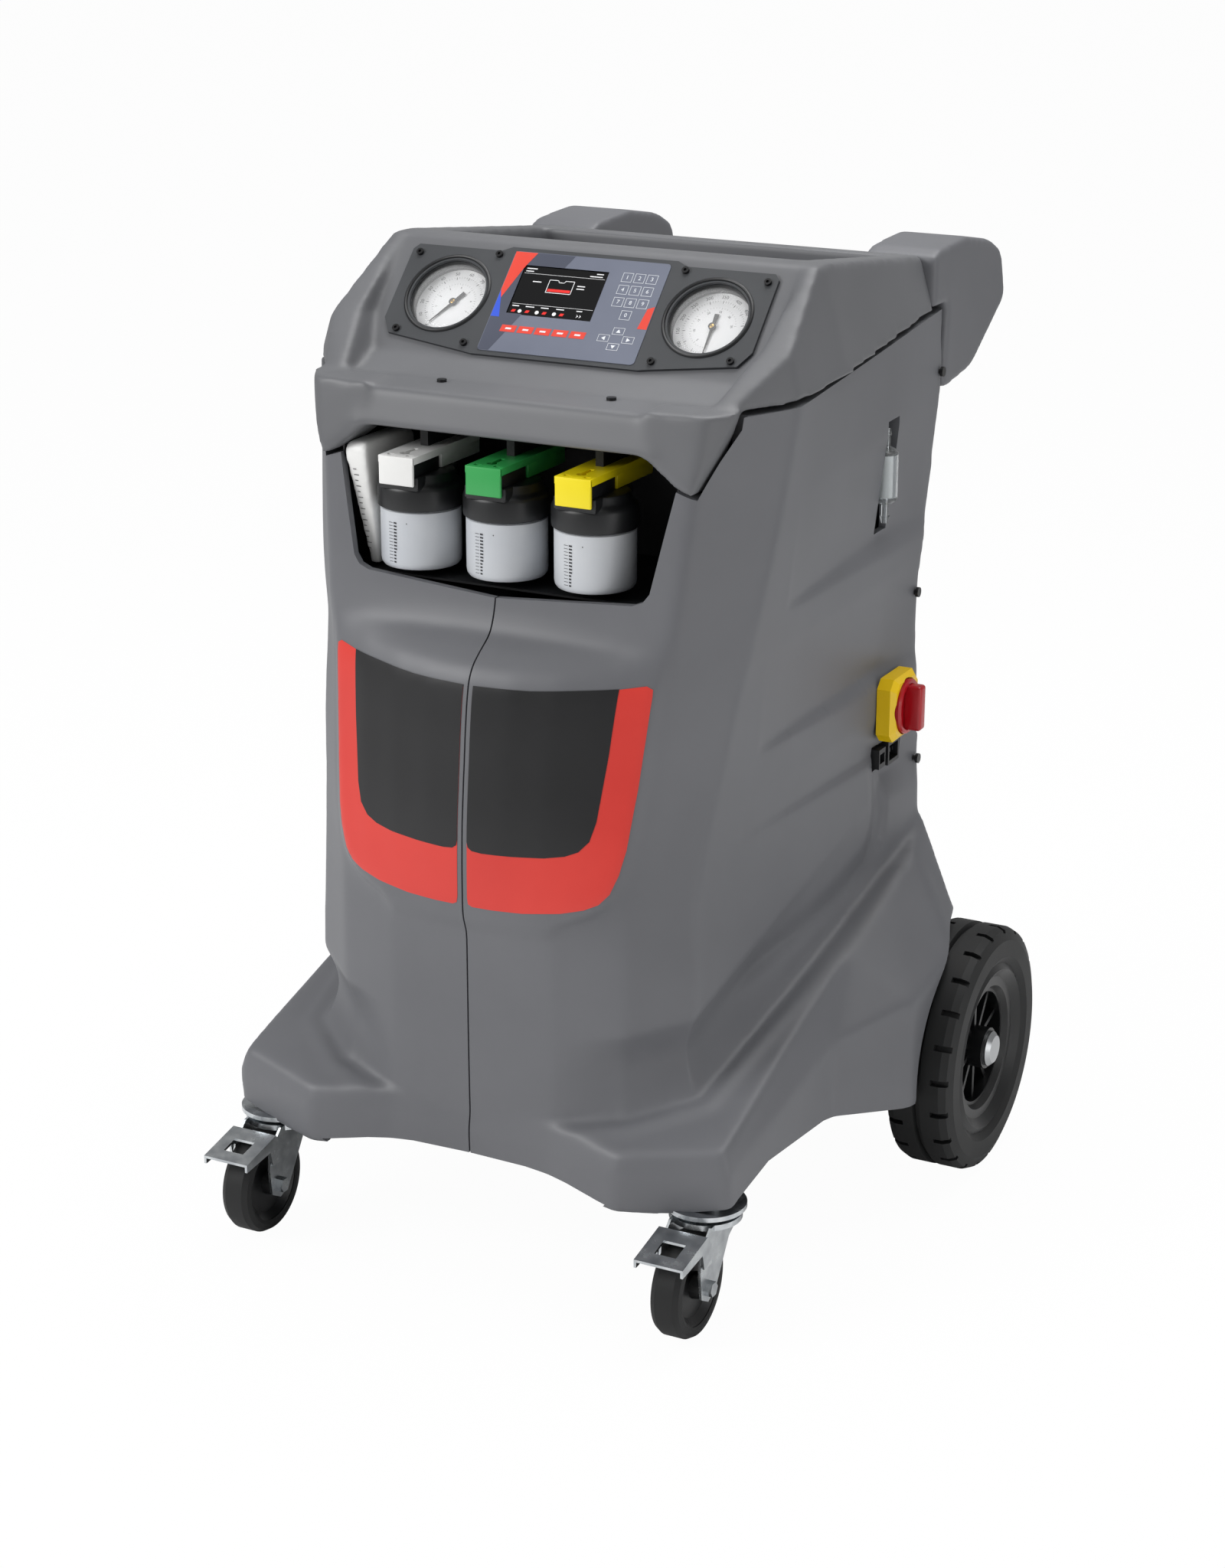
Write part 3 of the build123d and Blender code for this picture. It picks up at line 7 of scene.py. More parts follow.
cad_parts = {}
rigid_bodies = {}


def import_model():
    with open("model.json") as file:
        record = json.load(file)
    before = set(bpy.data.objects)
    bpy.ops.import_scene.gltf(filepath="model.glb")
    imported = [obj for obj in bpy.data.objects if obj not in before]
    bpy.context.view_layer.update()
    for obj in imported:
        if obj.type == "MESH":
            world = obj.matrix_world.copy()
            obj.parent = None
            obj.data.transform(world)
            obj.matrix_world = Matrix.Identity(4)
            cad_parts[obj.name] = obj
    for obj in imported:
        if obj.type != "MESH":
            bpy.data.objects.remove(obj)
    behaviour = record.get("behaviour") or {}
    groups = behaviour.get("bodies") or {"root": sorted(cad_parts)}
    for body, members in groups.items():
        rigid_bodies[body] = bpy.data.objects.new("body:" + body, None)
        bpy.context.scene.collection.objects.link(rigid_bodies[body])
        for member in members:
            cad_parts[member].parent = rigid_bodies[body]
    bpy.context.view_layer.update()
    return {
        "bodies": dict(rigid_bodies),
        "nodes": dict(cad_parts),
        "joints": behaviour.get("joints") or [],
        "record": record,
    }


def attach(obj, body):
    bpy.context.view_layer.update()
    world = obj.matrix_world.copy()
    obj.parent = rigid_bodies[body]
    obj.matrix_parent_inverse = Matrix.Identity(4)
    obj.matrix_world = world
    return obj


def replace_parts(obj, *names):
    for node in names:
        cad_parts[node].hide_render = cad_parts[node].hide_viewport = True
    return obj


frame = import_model()
nodes = frame["nodes"]
scene = bpy.context.scene

# Camera
# The photograph looks down a little at the station's right front corner through a long lens,
# from about three metres away. Its place was worked out from pairs of mirrored features.
camera_place = (1.3332, -2.6292, 1.4099)
camera_azimuth = radians(27.277)
camera_elevation = radians(19.092)
away = Vector((sin(camera_azimuth) * cos(camera_elevation),
               -cos(camera_azimuth) * cos(camera_elevation), sin(camera_elevation)))
lens = bpy.data.cameras.new("studio_lens")
lens.lens = 71.51
lens.sensor_width = 36.0
camera = bpy.data.objects.new("studio_camera", lens)
camera.location = camera_place
camera.rotation_euler = (-away).to_track_quat("-Z", "Y").to_euler()
scene.collection.objects.link(camera)
scene.camera = camera
scene.view_settings.view_transform = "Standard"


# Studio
# A white paper sweep under soft boxes: a large one to the left of the camera, a weaker one to
# the right, and one overhead that draws light along the upper edges.
def soft_box(name, place, aim, width, power):
    """Square area light at a place, turned to shine at a point."""
    data = bpy.data.lights.new(name, "AREA")
    data.shape = "SQUARE"
    data.size = width
    data.energy = power
    lamp = bpy.data.objects.new(name, data)
    lamp.location = place
    lamp.rotation_euler = (Vector(aim) - Vector(place)).to_track_quat("-Z", "Y").to_euler()
    scene.collection.objects.link(lamp)


soft_box("left_soft_box", (-1.9, -2.3, 2.2), (0, 0, 0.5), 1.5, 66)
soft_box("right_soft_box", (2.6, -0.7, 0.7), (0, 0, 0.35), 1.5, 12)
soft_box("top_soft_box", (0.2, 0.5, 2.9), (0, -0.1, 0.6), 2.0, 52)

world = bpy.data.worlds.new("studio_air")
world.use_nodes = True
air = world.node_tree
air.nodes["Background"].inputs["Color"].default_value = (1, 1, 1, 1)
air.nodes["Background"].inputs["Strength"].default_value = 0.34
bright = air.nodes.new("ShaderNodeBackground")
bright.inputs["Color"].default_value = (1, 1, 1, 1)
bright.inputs["Strength"].default_value = 1.0
seen = air.nodes.new("ShaderNodeLightPath")
choice = air.nodes.new("ShaderNodeMixShader")
air.links.new(seen.outputs["Is Camera Ray"], choice.inputs["Fac"])
air.links.new(air.nodes["Background"].outputs["Background"], choice.inputs[1])
air.links.new(bright.outputs["Background"], choice.inputs[2])
air.links.new(choice.outputs["Shader"], air.nodes["World Output"].inputs["Surface"])
scene.world = world

paper = bpy.data.materials.new("white_paper")
paper.use_nodes = True
sweep = paper.node_tree
sweep.nodes["Principled BSDF"].inputs["Base Color"].default_value = (0.95, 0.95, 0.95, 1)
sweep.nodes["Principled BSDF"].inputs["Roughness"].default_value = 0.9
glow = sweep.nodes.new("ShaderNodeEmission")
glow.inputs["Color"].default_value = (1, 1, 1, 1)
glow.inputs["Strength"].default_value = 1.0
ray = sweep.nodes.new("ShaderNodeLightPath")
share = sweep.nodes.new("ShaderNodeMath")
share.operation = "MULTIPLY"
share.inputs[1].default_value = 0.97
blend = sweep.nodes.new("ShaderNodeMixShader")
sweep.links.new(ray.outputs["Is Camera Ray"], share.inputs[0])
sweep.links.new(share.outputs[0], blend.inputs["Fac"])
sweep.links.new(sweep.nodes["Principled BSDF"].outputs["BSDF"], blend.inputs[1])
sweep.links.new(glow.outputs["Emission"], blend.inputs[2])
sweep.links.new(blend.outputs["Shader"], sweep.nodes["Material Output"].inputs["Surface"])
floor_mesh = bmesh.new()
bmesh.ops.create_grid(floor_mesh, x_segments=1, y_segments=1, size=60)
floor_data = bpy.data.meshes.new("paper_sweep")
floor_mesh.to_mesh(floor_data)
floor_mesh.free()
floor = bpy.data.objects.new("paper_sweep", floor_data)
floor_data.materials.append(paper)
scene.collection.objects.link(floor)


# Chassis and rear axle
# Folded and welded sheet steel in black powder coat, with a faint orange-peel surface; the
# axle is a bright turned bar with fine rings from the lathe.
def screen_colour(code):
    """Linear colour of a web colour such as 5A5B5E."""
    parts = [int(code[index:index + 2], 16) / 255 for index in (0, 2, 4)]
    linear = [part / 12.92 if part <= 0.04045 else ((part + 0.055) / 1.055) ** 2.4 for part in parts]
    return (*linear, 1)


def finish(name, dark, light, roughness, grain, depth, metallic=0.0, patch=9.0, gloss_spread=0.06):
    """Surface whose colour drifts between two shades, with a fine relief of the given grain."""
    material = bpy.data.materials.new(name)
    material.use_nodes = True
    tree = material.node_tree
    shader = tree.nodes["Principled BSDF"]
    shader.inputs["Metallic"].default_value = metallic
    place = tree.nodes.new("ShaderNodeTexCoord")
    clouds = tree.nodes.new("ShaderNodeTexNoise")
    clouds.inputs["Scale"].default_value = patch
    clouds.inputs["Detail"].default_value = 6.0
    shades = tree.nodes.new("ShaderNodeValToRGB")
    shades.color_ramp.elements[0].position = 0.35
    shades.color_ramp.elements[0].color = screen_colour(dark)
    shades.color_ramp.elements[1].position = 0.65
    shades.color_ramp.elements[1].color = screen_colour(light)
    gloss = tree.nodes.new("ShaderNodeMapRange")
    gloss.inputs["To Min"].default_value = roughness - gloss_spread
    gloss.inputs["To Max"].default_value = roughness + gloss_spread
    grains = tree.nodes.new("ShaderNodeTexNoise")
    grains.inputs["Scale"].default_value = 1.0 / grain
    grains.inputs["Detail"].default_value = 2.0
    relief = tree.nodes.new("ShaderNodeBump")
    relief.inputs["Strength"].default_value = 1.0
    relief.inputs["Distance"].default_value = depth
    tree.links.new(place.outputs["Object"], clouds.inputs["Vector"])
    tree.links.new(place.outputs["Object"], grains.inputs["Vector"])
    tree.links.new(clouds.outputs["Fac"], shades.inputs["Fac"])
    tree.links.new(clouds.outputs["Fac"], gloss.inputs["Value"])
    tree.links.new(shades.outputs["Color"], shader.inputs["Base Color"])
    tree.links.new(gloss.outputs["Result"], shader.inputs["Roughness"])
    tree.links.new(grains.outputs["Fac"], relief.inputs["Height"])
    tree.links.new(relief.outputs["Normal"], shader.inputs["Normal"])
    return material


def dress(material, *names):
    """Give CAD nodes a material."""
    for name in names:
        node = nodes[name]
        node.data.materials.clear()
        node.data.materials.append(material)


powder_coat = finish("black_powder_coat", "18191B", "202124", 0.42, 0.0011, 0.00004)
dress(powder_coat, "chassis")
turned_steel = finish("turned_steel", "A6A8AA", "BCBEC0", 0.3, 0.0006, 0.00001, metallic=1.0)
dress(turned_steel, "rear_axle")

# Rear wheels
# Solid rubber tyres, dull black with a fine moulded grain, on black nylon rims.
tyre_rubber = finish("tyre_rubber", "08090A", "0E0F10", 0.6, 0.0009, 0.00005, patch=30.0)
dress(tyre_rubber, "left_tyre", "right_tyre", "left_castor_tyre", "right_castor_tyre")
rim_nylon = finish("rim_nylon", "08090A", "0E0F11", 0.38, 0.0008, 0.00002)
dress(rim_nylon, "left_rim", "right_rim")

# Castors
# Pressed steel forks, pedals and bearing rings in bright zinc, and black plastic hubs.
bright_zinc = finish("bright_zinc", "B4B8BC", "D4D8DA", 0.26, 0.004, 0.00002, metallic=1.0, patch=60.0)
dress(bright_zinc, "castor_bearings", "left_castor_fork", "right_castor_fork",
      "left_brake_pedal", "right_brake_pedal")
dress(rim_nylon, "left_castor_hub", "right_castor_hub")

# Working parts inside the body
# Painted tank and pump, black compressor and drier, bare alloy scale and valve block.
tank_paint = finish("tank_paint", "7C8084", "8A8E92", 0.35, 0.002, 0.00003)
dress(tank_paint, "refrigerant_tank")
bare_alloy = finish("bare_alloy", "9EA0A2", "B6B8BA", 0.34, 0.001, 0.00001, metallic=1.0)
dress(bare_alloy, "tank_scale", "manifold_block")
pump_paint = finish("pump_paint", "27405C", "305070", 0.4, 0.003, 0.00008)
dress(pump_paint, "vacuum_pump")
dress(powder_coat, "compressor", "filter_drier")
port_brass = finish("port_brass", "B08D4A", "C9A65E", 0.28, 0.0008, 0.00001, metallic=1.0)
dress(port_brass, "hose_ports")
black_moulding = finish("black_moulding", "121315", "1A1B1D", 0.42, 0.0008, 0.00004)
dress(black_moulding, "fan_frame", "fan_rotor", "bay_liner", "bottle_dock", "filter_clip",
      "mains_inlet", "gauge_cases", "first_cap", "second_cap", "third_cap")
board_green = finish("board_green", "12402A", "1A5236", 0.4, 0.002, 0.00002)
dress(board_green, "control_board")

# Body shells
# Two thick moulded halves of grey plastic that meet on the centre line. Their form is drawn as
# level sections of the column and three outlines of the flared base, melted into one skin so
# that every edge is as round as a mould leaves it, and then cut open and given its wall.
mm = 0.001
# Each section: height, front of the middle, then (x, y) of the edge and foot of the raised
# shield, of the front pillar's two edges, and X of the rear corner.
column_sections = (
    (80, -333, (80, -330), (84, -329.5), (150, -308), (202, -268), 238),
    (250, -335, (80, -329), (84, -328.5), (150, -307), (201, -266), 238),
    (352, -335, (80, -329), (84, -328.5), (150, -305), (199, -263), 234),
    (366, -342, (84, -335), (88, -328), (150, -304.5), (198.5, -262.5), 233.7),
    (380, -342, (116, -327), (121, -318), (151, -304), (198, -262), 233.3),
    (399, -342, (139, -319), (144, -309), (154, -302), (199, -259), 232.8),
    (440, -341, (151, -309), (156, -299), (161, -296), (202, -251), 231.6),
    (510, -335, (159, -295), (164, -285), (169, -282), (210, -236), 230),
    (585, -325, (166, -282), (171, -272), (175, -270), (218, -214), 230),
    (602, -314, (168, -278), (173, -270), (177, -268), (221, -208), 230),
    (622, -283, (170, -274), (174, -271), (178, -269), (224, -206), 230),
    (660, -272, (173, -268.5), (177, -267.5), (182, -264), (230, -199), 229),
    (735, -266, (181, -258.5), (185, -257.5), (190, -253), (239, -182), 227),
    (900, -246, (197.5, -234), (201.5, -233), (206.5, -228), (253.5, -151), 219),
)
base_lower = [(0, -335), (84, -338), (163, -358), (266, -320), (277, -115), (322, -30), (329, 60),
              (300, 135), (240, 193)]
base_shoulder = [(0, -337), (84, -340), (163, -359), (264, -326), (273, -115), (320, -30), (327, 60),
                 (297, 135), (240, 193)]
base_ridge = [(0, -331), (84, -334), (165, -352), (257, -322), (251, -115), (252, -30), (254, 60),
              (252, 135), (236, 192)]
bay_outline = [(172, 900), (172, 767), (152, 672), (146, 664), (136, 660), (0, 651), (-136, 660),
               (-146, 664), (-152, 672), (-172, 767), (-172, 900)]
ear_outline = [(136, 789), (170, 764), (190, 757), (203, 789), (215, 815), (219, 860), (136, 860)]
bottom_side = [(-420, 90), (-420, 112), (-345, 112), (-310, 128), (-250, 141), (-138, 136), (-40, 117),
               (10, 112), (300, 112), (300, 90)]
bottom_front = [(-130, 90), (-152, 116), (-107, 123), (-60, 127), (0, 127), (60, 127), (107, 123),
                (152, 116), (130, 90)]
# Each flute: where it starts (y, z) above and below, then the heights of its upper edge, of the
# foot and of the lip of its step at the rear, and its depth.
flutes = (
    ((-97, 745), (-138, 636), 766, 656, 632, 15.0),
    ((-130, 600), (-164, 505), 612, 516, 494, 15.0),
    ((-160, 462), (-190, 392), 470, 404, 368, 13.0),
)
flute_end_y = 260.0
leaf_edge = [(103, 420), (114, 366), (107, 333), (81, 311), (31, 297), (-48, 283), (-133, 273), (-205, 262)]


def rear_line(z):
    """Outer face of the body's back at height z, in millimetres."""
    line = ((90, 193), (297, 193), (588, 182), (771, 235), (890, 246))
    for (z_low, y_low), (z_high, y_high) in zip(line, line[1:]):
        if z <= z_high:
            return y_low + (y_high - y_low) * (z - z_low) / (z_high - z_low)
    return line[-1][1]


def flowing(knots, values, z):
    """Value at z of a smooth curve through the values at the knots, with no overshoot."""
    slopes = [(b - a) / (t - s) for s, t, a, b in zip(knots, knots[1:], values, values[1:])]
    bends = [slopes[0]]
    for before, after in zip(slopes, slopes[1:]):
        bends.append(2 * before * after / (before + after) if before * after > 0 else 0.0)
    bends.append(slopes[-1])
    index = max(i for i, knot in enumerate(knots[:-1]) if knot <= z)
    width = knots[index + 1] - knots[index]
    t = (z - knots[index]) / width
    rest = 1 - t
    return (values[index] * rest * rest * (1 + 2 * t) + values[index + 1] * t * t * (3 - 2 * t)
            + width * (bends[index] * t * rest * rest - bends[index + 1] * t * t * rest))


section_heights = [section[0] for section in column_sections]
section_values = [[value for item in section[1:] for value in (item if isinstance(item, tuple) else (item,))]
                  for section in column_sections]


def column_ring(z, side_wall=0.0, front_wall=0.0):
    """Closed ring of the column at height z, its sides and its front and back moved inwards."""
    front, sx, sy, fx, fy, px, py, ex, ey, rx = [flowing(section_heights, values, z)
                                                 for values in zip(*section_values)]
    half = [(sx * k / 4, front + (sy - front) * (k / 4) ** 2) for k in range(1, 5)]
    half += [(fx, fy), (px, py), (ex, ey), (ex + (rx - ex) / 2, (ey + rear_line(z)) / 2), (rx, rear_line(z))]
    ring = [(0, front)] + half + [(-x, y) for x, y in reversed(half)]
    middle_y = -50.0
    return [(x - side_wall * (1 if x > 0 else -1 if x < 0 else 0),
             y - front_wall * (1 if y > middle_y else -1), z) for x, y in ring]


def to_object(name, form):
    """New object in the scene from a bmesh."""
    data = bpy.data.meshes.new(name)
    form.to_mesh(data)
    form.free()
    piece = bpy.data.objects.new(name, data)
    scene.collection.objects.link(piece)
    return piece


def lofted(name, rings):
    """Closed mesh object through closed rings of points in millimetres, lowest ring first."""
    form = bmesh.new()
    loops = []
    for ring in rings:
        corners = [form.verts.new(spot) for spot in ring]
        loops.append([form.edges.new(pair) for pair in zip(corners, corners[1:] + corners[:1])])
    for low, high in zip(loops, loops[1:]):
        bmesh.ops.bridge_loops(form, edges=low + high)
    bmesh.ops.holes_fill(form, edges=form.edges, sides=0)
    bmesh.ops.recalc_face_normals(form, faces=form.faces)
    bmesh.ops.scale(form, vec=(mm, mm, mm), verts=form.verts)
    return to_object(name, form)


def settled(piece):
    """Apply the object's modifiers to its mesh."""
    graph = bpy.context.evaluated_depsgraph_get()
    data = bpy.data.meshes.new_from_object(piece.evaluated_get(graph))
    piece.modifiers.clear()
    piece.data = data
    return piece


def melted(piece, others, grain, rounds):
    """Join closed meshes into one skin of small even faces and soften its edges."""
    form = bmesh.new()
    form.from_mesh(piece.data)
    for other in others:
        form.from_mesh(other.data)
        bpy.data.objects.remove(other)
    form.to_mesh(piece.data)
    form.free()
    skin = piece.modifiers.new("skin", "REMESH")
    skin.mode = "VOXEL"
    skin.voxel_size = grain
    settled(piece)
    softened(piece, rounds)
    return piece


def softened(piece, rounds):
    """Even out a mesh by the given rounds of smoothing."""
    soft = bmesh.new()
    soft.from_mesh(piece.data)
    for _ in range(rounds):
        bmesh.ops.smooth_vert(soft, verts=soft.verts, factor=0.5, use_axis_x=True, use_axis_y=True,
                              use_axis_z=True)
    soft.to_mesh(piece.data)
    soft.free()


def cut(piece, cutter, operation="DIFFERENCE", keep=False):
    """Cut one closed mesh with another and apply the result."""
    tool = piece.modifiers.new("cut", "BOOLEAN")
    tool.operation = operation
    tool.solver = "MANIFOLD"
    tool.object = cutter
    settled(piece)
    if not keep:
        bpy.data.objects.remove(cutter)
    return piece


def slab(name, outline, low, high, axis):
    """Closed prism of an outline in millimetres: (x, z) along Y, (y, z) along X or (x, y) along Z."""
    form = bmesh.new()
    order = {"X": lambda a, b: (low, a, b), "Y": lambda a, b: (a, low, b), "Z": lambda a, b: (a, b, low)}[axis]
    face = form.faces.new([form.verts.new(order(a, b)) for a, b in outline])
    drawn = bmesh.ops.extrude_face_region(form, geom=[face])
    travel = {"X": (high - low, 0, 0), "Y": (0, high - low, 0), "Z": (0, 0, high - low)}[axis]
    bmesh.ops.translate(form, vec=travel,
                        verts=[item for item in drawn["geom"] if isinstance(item, bmesh.types.BMVert)])
    bmesh.ops.recalc_face_normals(form, faces=form.faces)
    bmesh.ops.scale(form, vec=(mm, mm, mm), verts=form.verts)
    return to_object(name, form)


def box_between(name, x, y, z):
    """Closed block between two values of X, of Y and of Z in millimetres."""
    return slab(name, [(x[0], y[0]), (x[1], y[0]), (x[1], y[1]), (x[0], y[1])], z[0], z[1], "Z")


def disc_outline(y, z, radius, count=96):
    """Points of a circle round (y, z)."""
    return [(y + radius * cos(radians(360 * k / count)), z + radius * sin(radians(360 * k / count)))
            for k in range(count)]


def raised(points, height, slope):
    """Full ring of a base outline on a plane that rises towards the rear, in millimetres."""
    full = points + [(-x, y) for x, y in reversed(points) if x > 0]
    return [(x, y, height + slope * (y + 320)) for x, y in full]


def nearest(line, a, b):
    """Distance from (a, b) to a polyline and the side it lies on, positive on the right."""
    best = (1e9, 1.0)
    for (a0, b0), (a1, b1) in zip(line, line[1:]):
        run = (a1 - a0, b1 - b0)
        t = max(0.0, min(1.0, ((a - a0) * run[0] + (b - b0) * run[1]) / (run[0] ** 2 + run[1] ** 2)))
        off = (a - a0 - t * run[0], b - b0 - t * run[1])
        gap = (off[0] ** 2 + off[1] ** 2) ** 0.5
        if gap < best[0]:
            best = (gap, 1.0 if run[0] * off[1] - run[1] * off[0] < 0 else -1.0)
    return best


def eased(value, low, high):
    """Smooth step from 0 at low to 1 at high."""
    t = max(0.0, min(1.0, (value - low) / (high - low)))
    return t * t * (3 - 2 * t)


def side_depth(y, z):
    """How deep the side is sunk at (y, z) by the flutes and by the edge of the swept leaf."""
    depth = 0.0
    for (high_y, high_z), (low_y, low_z), rear_high, rear_foot, rear_lip, deep in flutes:
        t = (y - low_y) / (flute_end_y - low_y)
        if t <= 0:
            continue
        top = high_z + (rear_high - high_z) * max(0.0, (y - high_y) / (flute_end_y - high_y))
        foot = low_z + (rear_foot - low_z) * t
        lip = low_z + (rear_lip - low_z) * t
        if lip < z < top:
            share = (top - z) / (top - foot) if z > foot else (z - lip) / (foot - lip)
            depth = max(depth, deep * t ** 0.6 * share * (1 - 0.85 * eased(y, 95, 190)))
    if z < 425 and y < 240:
        gap, side = nearest(leaf_edge, y, z)
        behind = side * gap
        fade = eased(y, -215, -120)
        if behind > -3:
            sunk = 6.0 * eased(behind, -3, 3) * (1 - eased(behind, 4, 34)) * fade
            depth = max(depth * (1 - eased(behind, -3, 3)), sunk)
    return depth


deck_foot = [(60, -336), (84, -331), (150, -307), (200, -264), (219, -100), (238, 193)]


def sculpted(piece):
    """Sink the flutes and the scoop above the deck into the melted skin, and raise the deck's inner lip."""
    form = bmesh.new()
    form.from_mesh(piece.data)
    form.normal_update()
    moves = []
    for vert in form.verts:
        x, y, z = (value / mm for value in vert.co)
        side = 1 if x > 0 else -1
        width = abs(x)
        shift = Vector((0, 0, 0))
        deck = 178 + 0.31 * (y + 320)
        if width > 190 and abs(vert.normal.x) > 0.5 and z > deck + 6:
            shift.x -= side * side_depth(y, z)
        rise = z - deck
        if width > 80 and -12 < rise < 90 and y < 100:
            gap, _ = nearest(deck_foot, width, y)
            place = eased(width, 84, 160) * (1 - 0.8 * eased(y, -230, 0))
            if rise > 3 and gap < 40:
                band = max(0.0, sin(3.1416 * min(1.0, (rise - 3) / 78)))
                level = Vector((vert.normal.x, vert.normal.y, 0))
                if level.length > 0.3:
                    shift -= level.normalized() * 13.0 * band * place
            if rise < 12 and vert.normal.z > 0.5:
                shift.z += 4.0 * place * (2.718 ** (-((gap - 15) / 9) ** 2))
        moves.append(shift)
    for vert, shift in zip(form.verts, moves):
        vert.co += shift * mm
    form.to_mesh(piece.data)
    form.free()


body = lofted("body_form", [column_ring(z) for z in range(110, 881, 10)])
base = lofted("base_form", [raised(base_lower, 110, 0), raised(base_shoulder, 157, 0.235),
                            raised(base_ridge, 178, 0.31)])
melted(body, [base], 0.004, 6)
sculpted(body)
softened(body, 2)
hollow = lofted("hollow_form", [column_ring(z, 24 if z < 440 else 17, 14 if z < 440 else 7)
                                for z in range(90, 901, 30)])
base_inset = [raised([(x * 0.94, y * 0.94) for x, y in outline], height, slope)
              for outline, height, slope in ((base_lower, 90, 0), (base_shoulder, 147, 0.235),
                                             (base_ridge, 163, 0.31))]
base_hollow = lofted("base_hollow", base_inset)
arch = slab("arch", disc_outline(118, 125, 138), 268, 420, "X")
far_arch = slab("far_arch", disc_outline(118, 125, 138), -420, -268, "X")
for cutter in (hollow, base_hollow, arch, far_arch,
               box_between("arch_rear", (268, 420), (118, 320), (60, 263)),
               box_between("far_arch_rear", (-420, -268), (118, 320), (60, 263)),
               box_between("rear_mouth", (-210, 210), (150, 330), (60, 900)),
               slab("bay_mouth", bay_outline, -420, -196, "Y"),
               slab("right_ear_room", ear_outline, -330, -204, "Y"),
               slab("left_ear_room", [(-x, z) for x, z in ear_outline], -330, -204, "Y"),
               slab("above_seam", [(-420, 815.3), (320, 852.3), (320, 1200), (-420, 1200)], -400, 400, "X"),
               slab("under_side", bottom_side, -400, 400, "X"),
               slab("under_front", bottom_front, -420, -250, "Y")):
    cut(body, cutter)
halves = {}
for name, x in (("right_shell_skin", (0.8, 500)), ("left_shell_skin", (-500, -0.8))):
    half = bpy.data.objects.new(name, body.data.copy())
    scene.collection.objects.link(half)
    cut(half, box_between("half_space", x, (-500, 500), (0, 1200)), "INTERSECT")
    halves[name] = half
bpy.data.objects.remove(body)
cut(halves["right_shell_skin"], box_between("switch_seat", (225.5, 300), (85.5, 150.5), (441.5, 506.5)))
cut(halves["right_shell_skin"], box_between("inlet_hole", (180, 300), (89, 149), (409, 435)))
cut(halves["right_shell_skin"], box_between("filter_slot", (180, 300), (81, 111), (654, 766)))
body_grey = finish("body_grey", "616266", "6A6B6F", 0.47, 0.0009, 0.00006, patch=4.0)
for name, node in (("right_shell_skin", "right_shell"), ("left_shell_skin", "left_shell")):
    half = halves[name]
    half.data.materials.clear()
    half.data.materials.append(body_grey)
    for face in half.data.polygons:
        face.use_smooth = True
    half.data.set_sharp_from_angle(angle=radians(38))
    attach(half, "root")
    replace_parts(half, node)
panel_coat = finish("panel_coat", "3A3B3D", "424345", 0.5, 0.001, 0.00005)
dress(panel_coat, "rear_panel")

# Front decals
# Two printed films on the raised shield, red with a black panel, which end beside the seam. Each
# layer is cut from the shell's own face and stands a fraction of a millimetre proud of it.
film_black = finish("film_black", "121214", "18181A", 0.42, 0.0007, 0.00003)
film_red = finish("film_red", "D2342B", "DA3A30", 0.4, 0.0009, 0.00002)
red_outline = [(5, 386), (5, 581), (60, 582), (112, 586), (158, 593), (163, 590), (163, 584), (156, 500),
               (150, 445), (145, 422), (138, 404), (129, 394), (116, 388), (95, 383), (60, 379), (30, 378),
               (10, 378), (6, 380)]
black_outline = [(5, 440), (5, 583), (60, 584), (112, 588), (136, 590), (131, 530), (124, 470), (119, 452),
                 (110, 442), (98, 437), (80, 434), (50, 432), (20, 431), (10, 432), (6, 435)]


def film(name, shell, outline, lift, material, side):
    """Thin layer on a shell's front face inside an outline of (x, z), lifted by a small height."""
    layer = bpy.data.objects.new(name, shell.data.copy())
    scene.collection.objects.link(layer)
    drawn = outline if side > 0 else [(-x, z) for x, z in outline]
    cut(layer, slab("film_cutter", drawn, -420, -250, "Y"), "INTERSECT")
    form = bmesh.new()
    form.from_mesh(layer.data)
    form.normal_update()
    inner = [face for face in form.faces if face.normal.y > -0.25 or face.calc_center_median().y > -0.262]
    bmesh.ops.delete(form, geom=inner, context="FACES")
    loose = [vert for vert in form.verts if not vert.link_faces]
    bmesh.ops.delete(form, geom=loose, context="VERTS")
    form.normal_update()
    lifts = [(vert, vert.normal.copy()) for vert in form.verts]
    for vert, normal in lifts:
        vert.co += normal * lift * mm
    bmesh.ops.solidify(form, geom=form.faces, thickness=0.2 * mm)
    for face in form.faces:
        face.smooth = True
    form.to_mesh(layer.data)
    form.free()
    layer.data.materials.clear()
    layer.data.materials.append(material)
    layer.data.set_sharp_from_angle(angle=radians(40))
    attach(layer, "root")
    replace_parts(layer, ("left_decal", "right_decal")[side > 0])


for side, word in ((1, "right"), (-1, "left")):
    film(word + "_decal_red", halves[word + "_shell_skin"], red_outline, 0.35, film_red, side)
    film(word + "_decal_black", halves[word + "_shell_skin"], black_outline, 0.65, film_black, side)

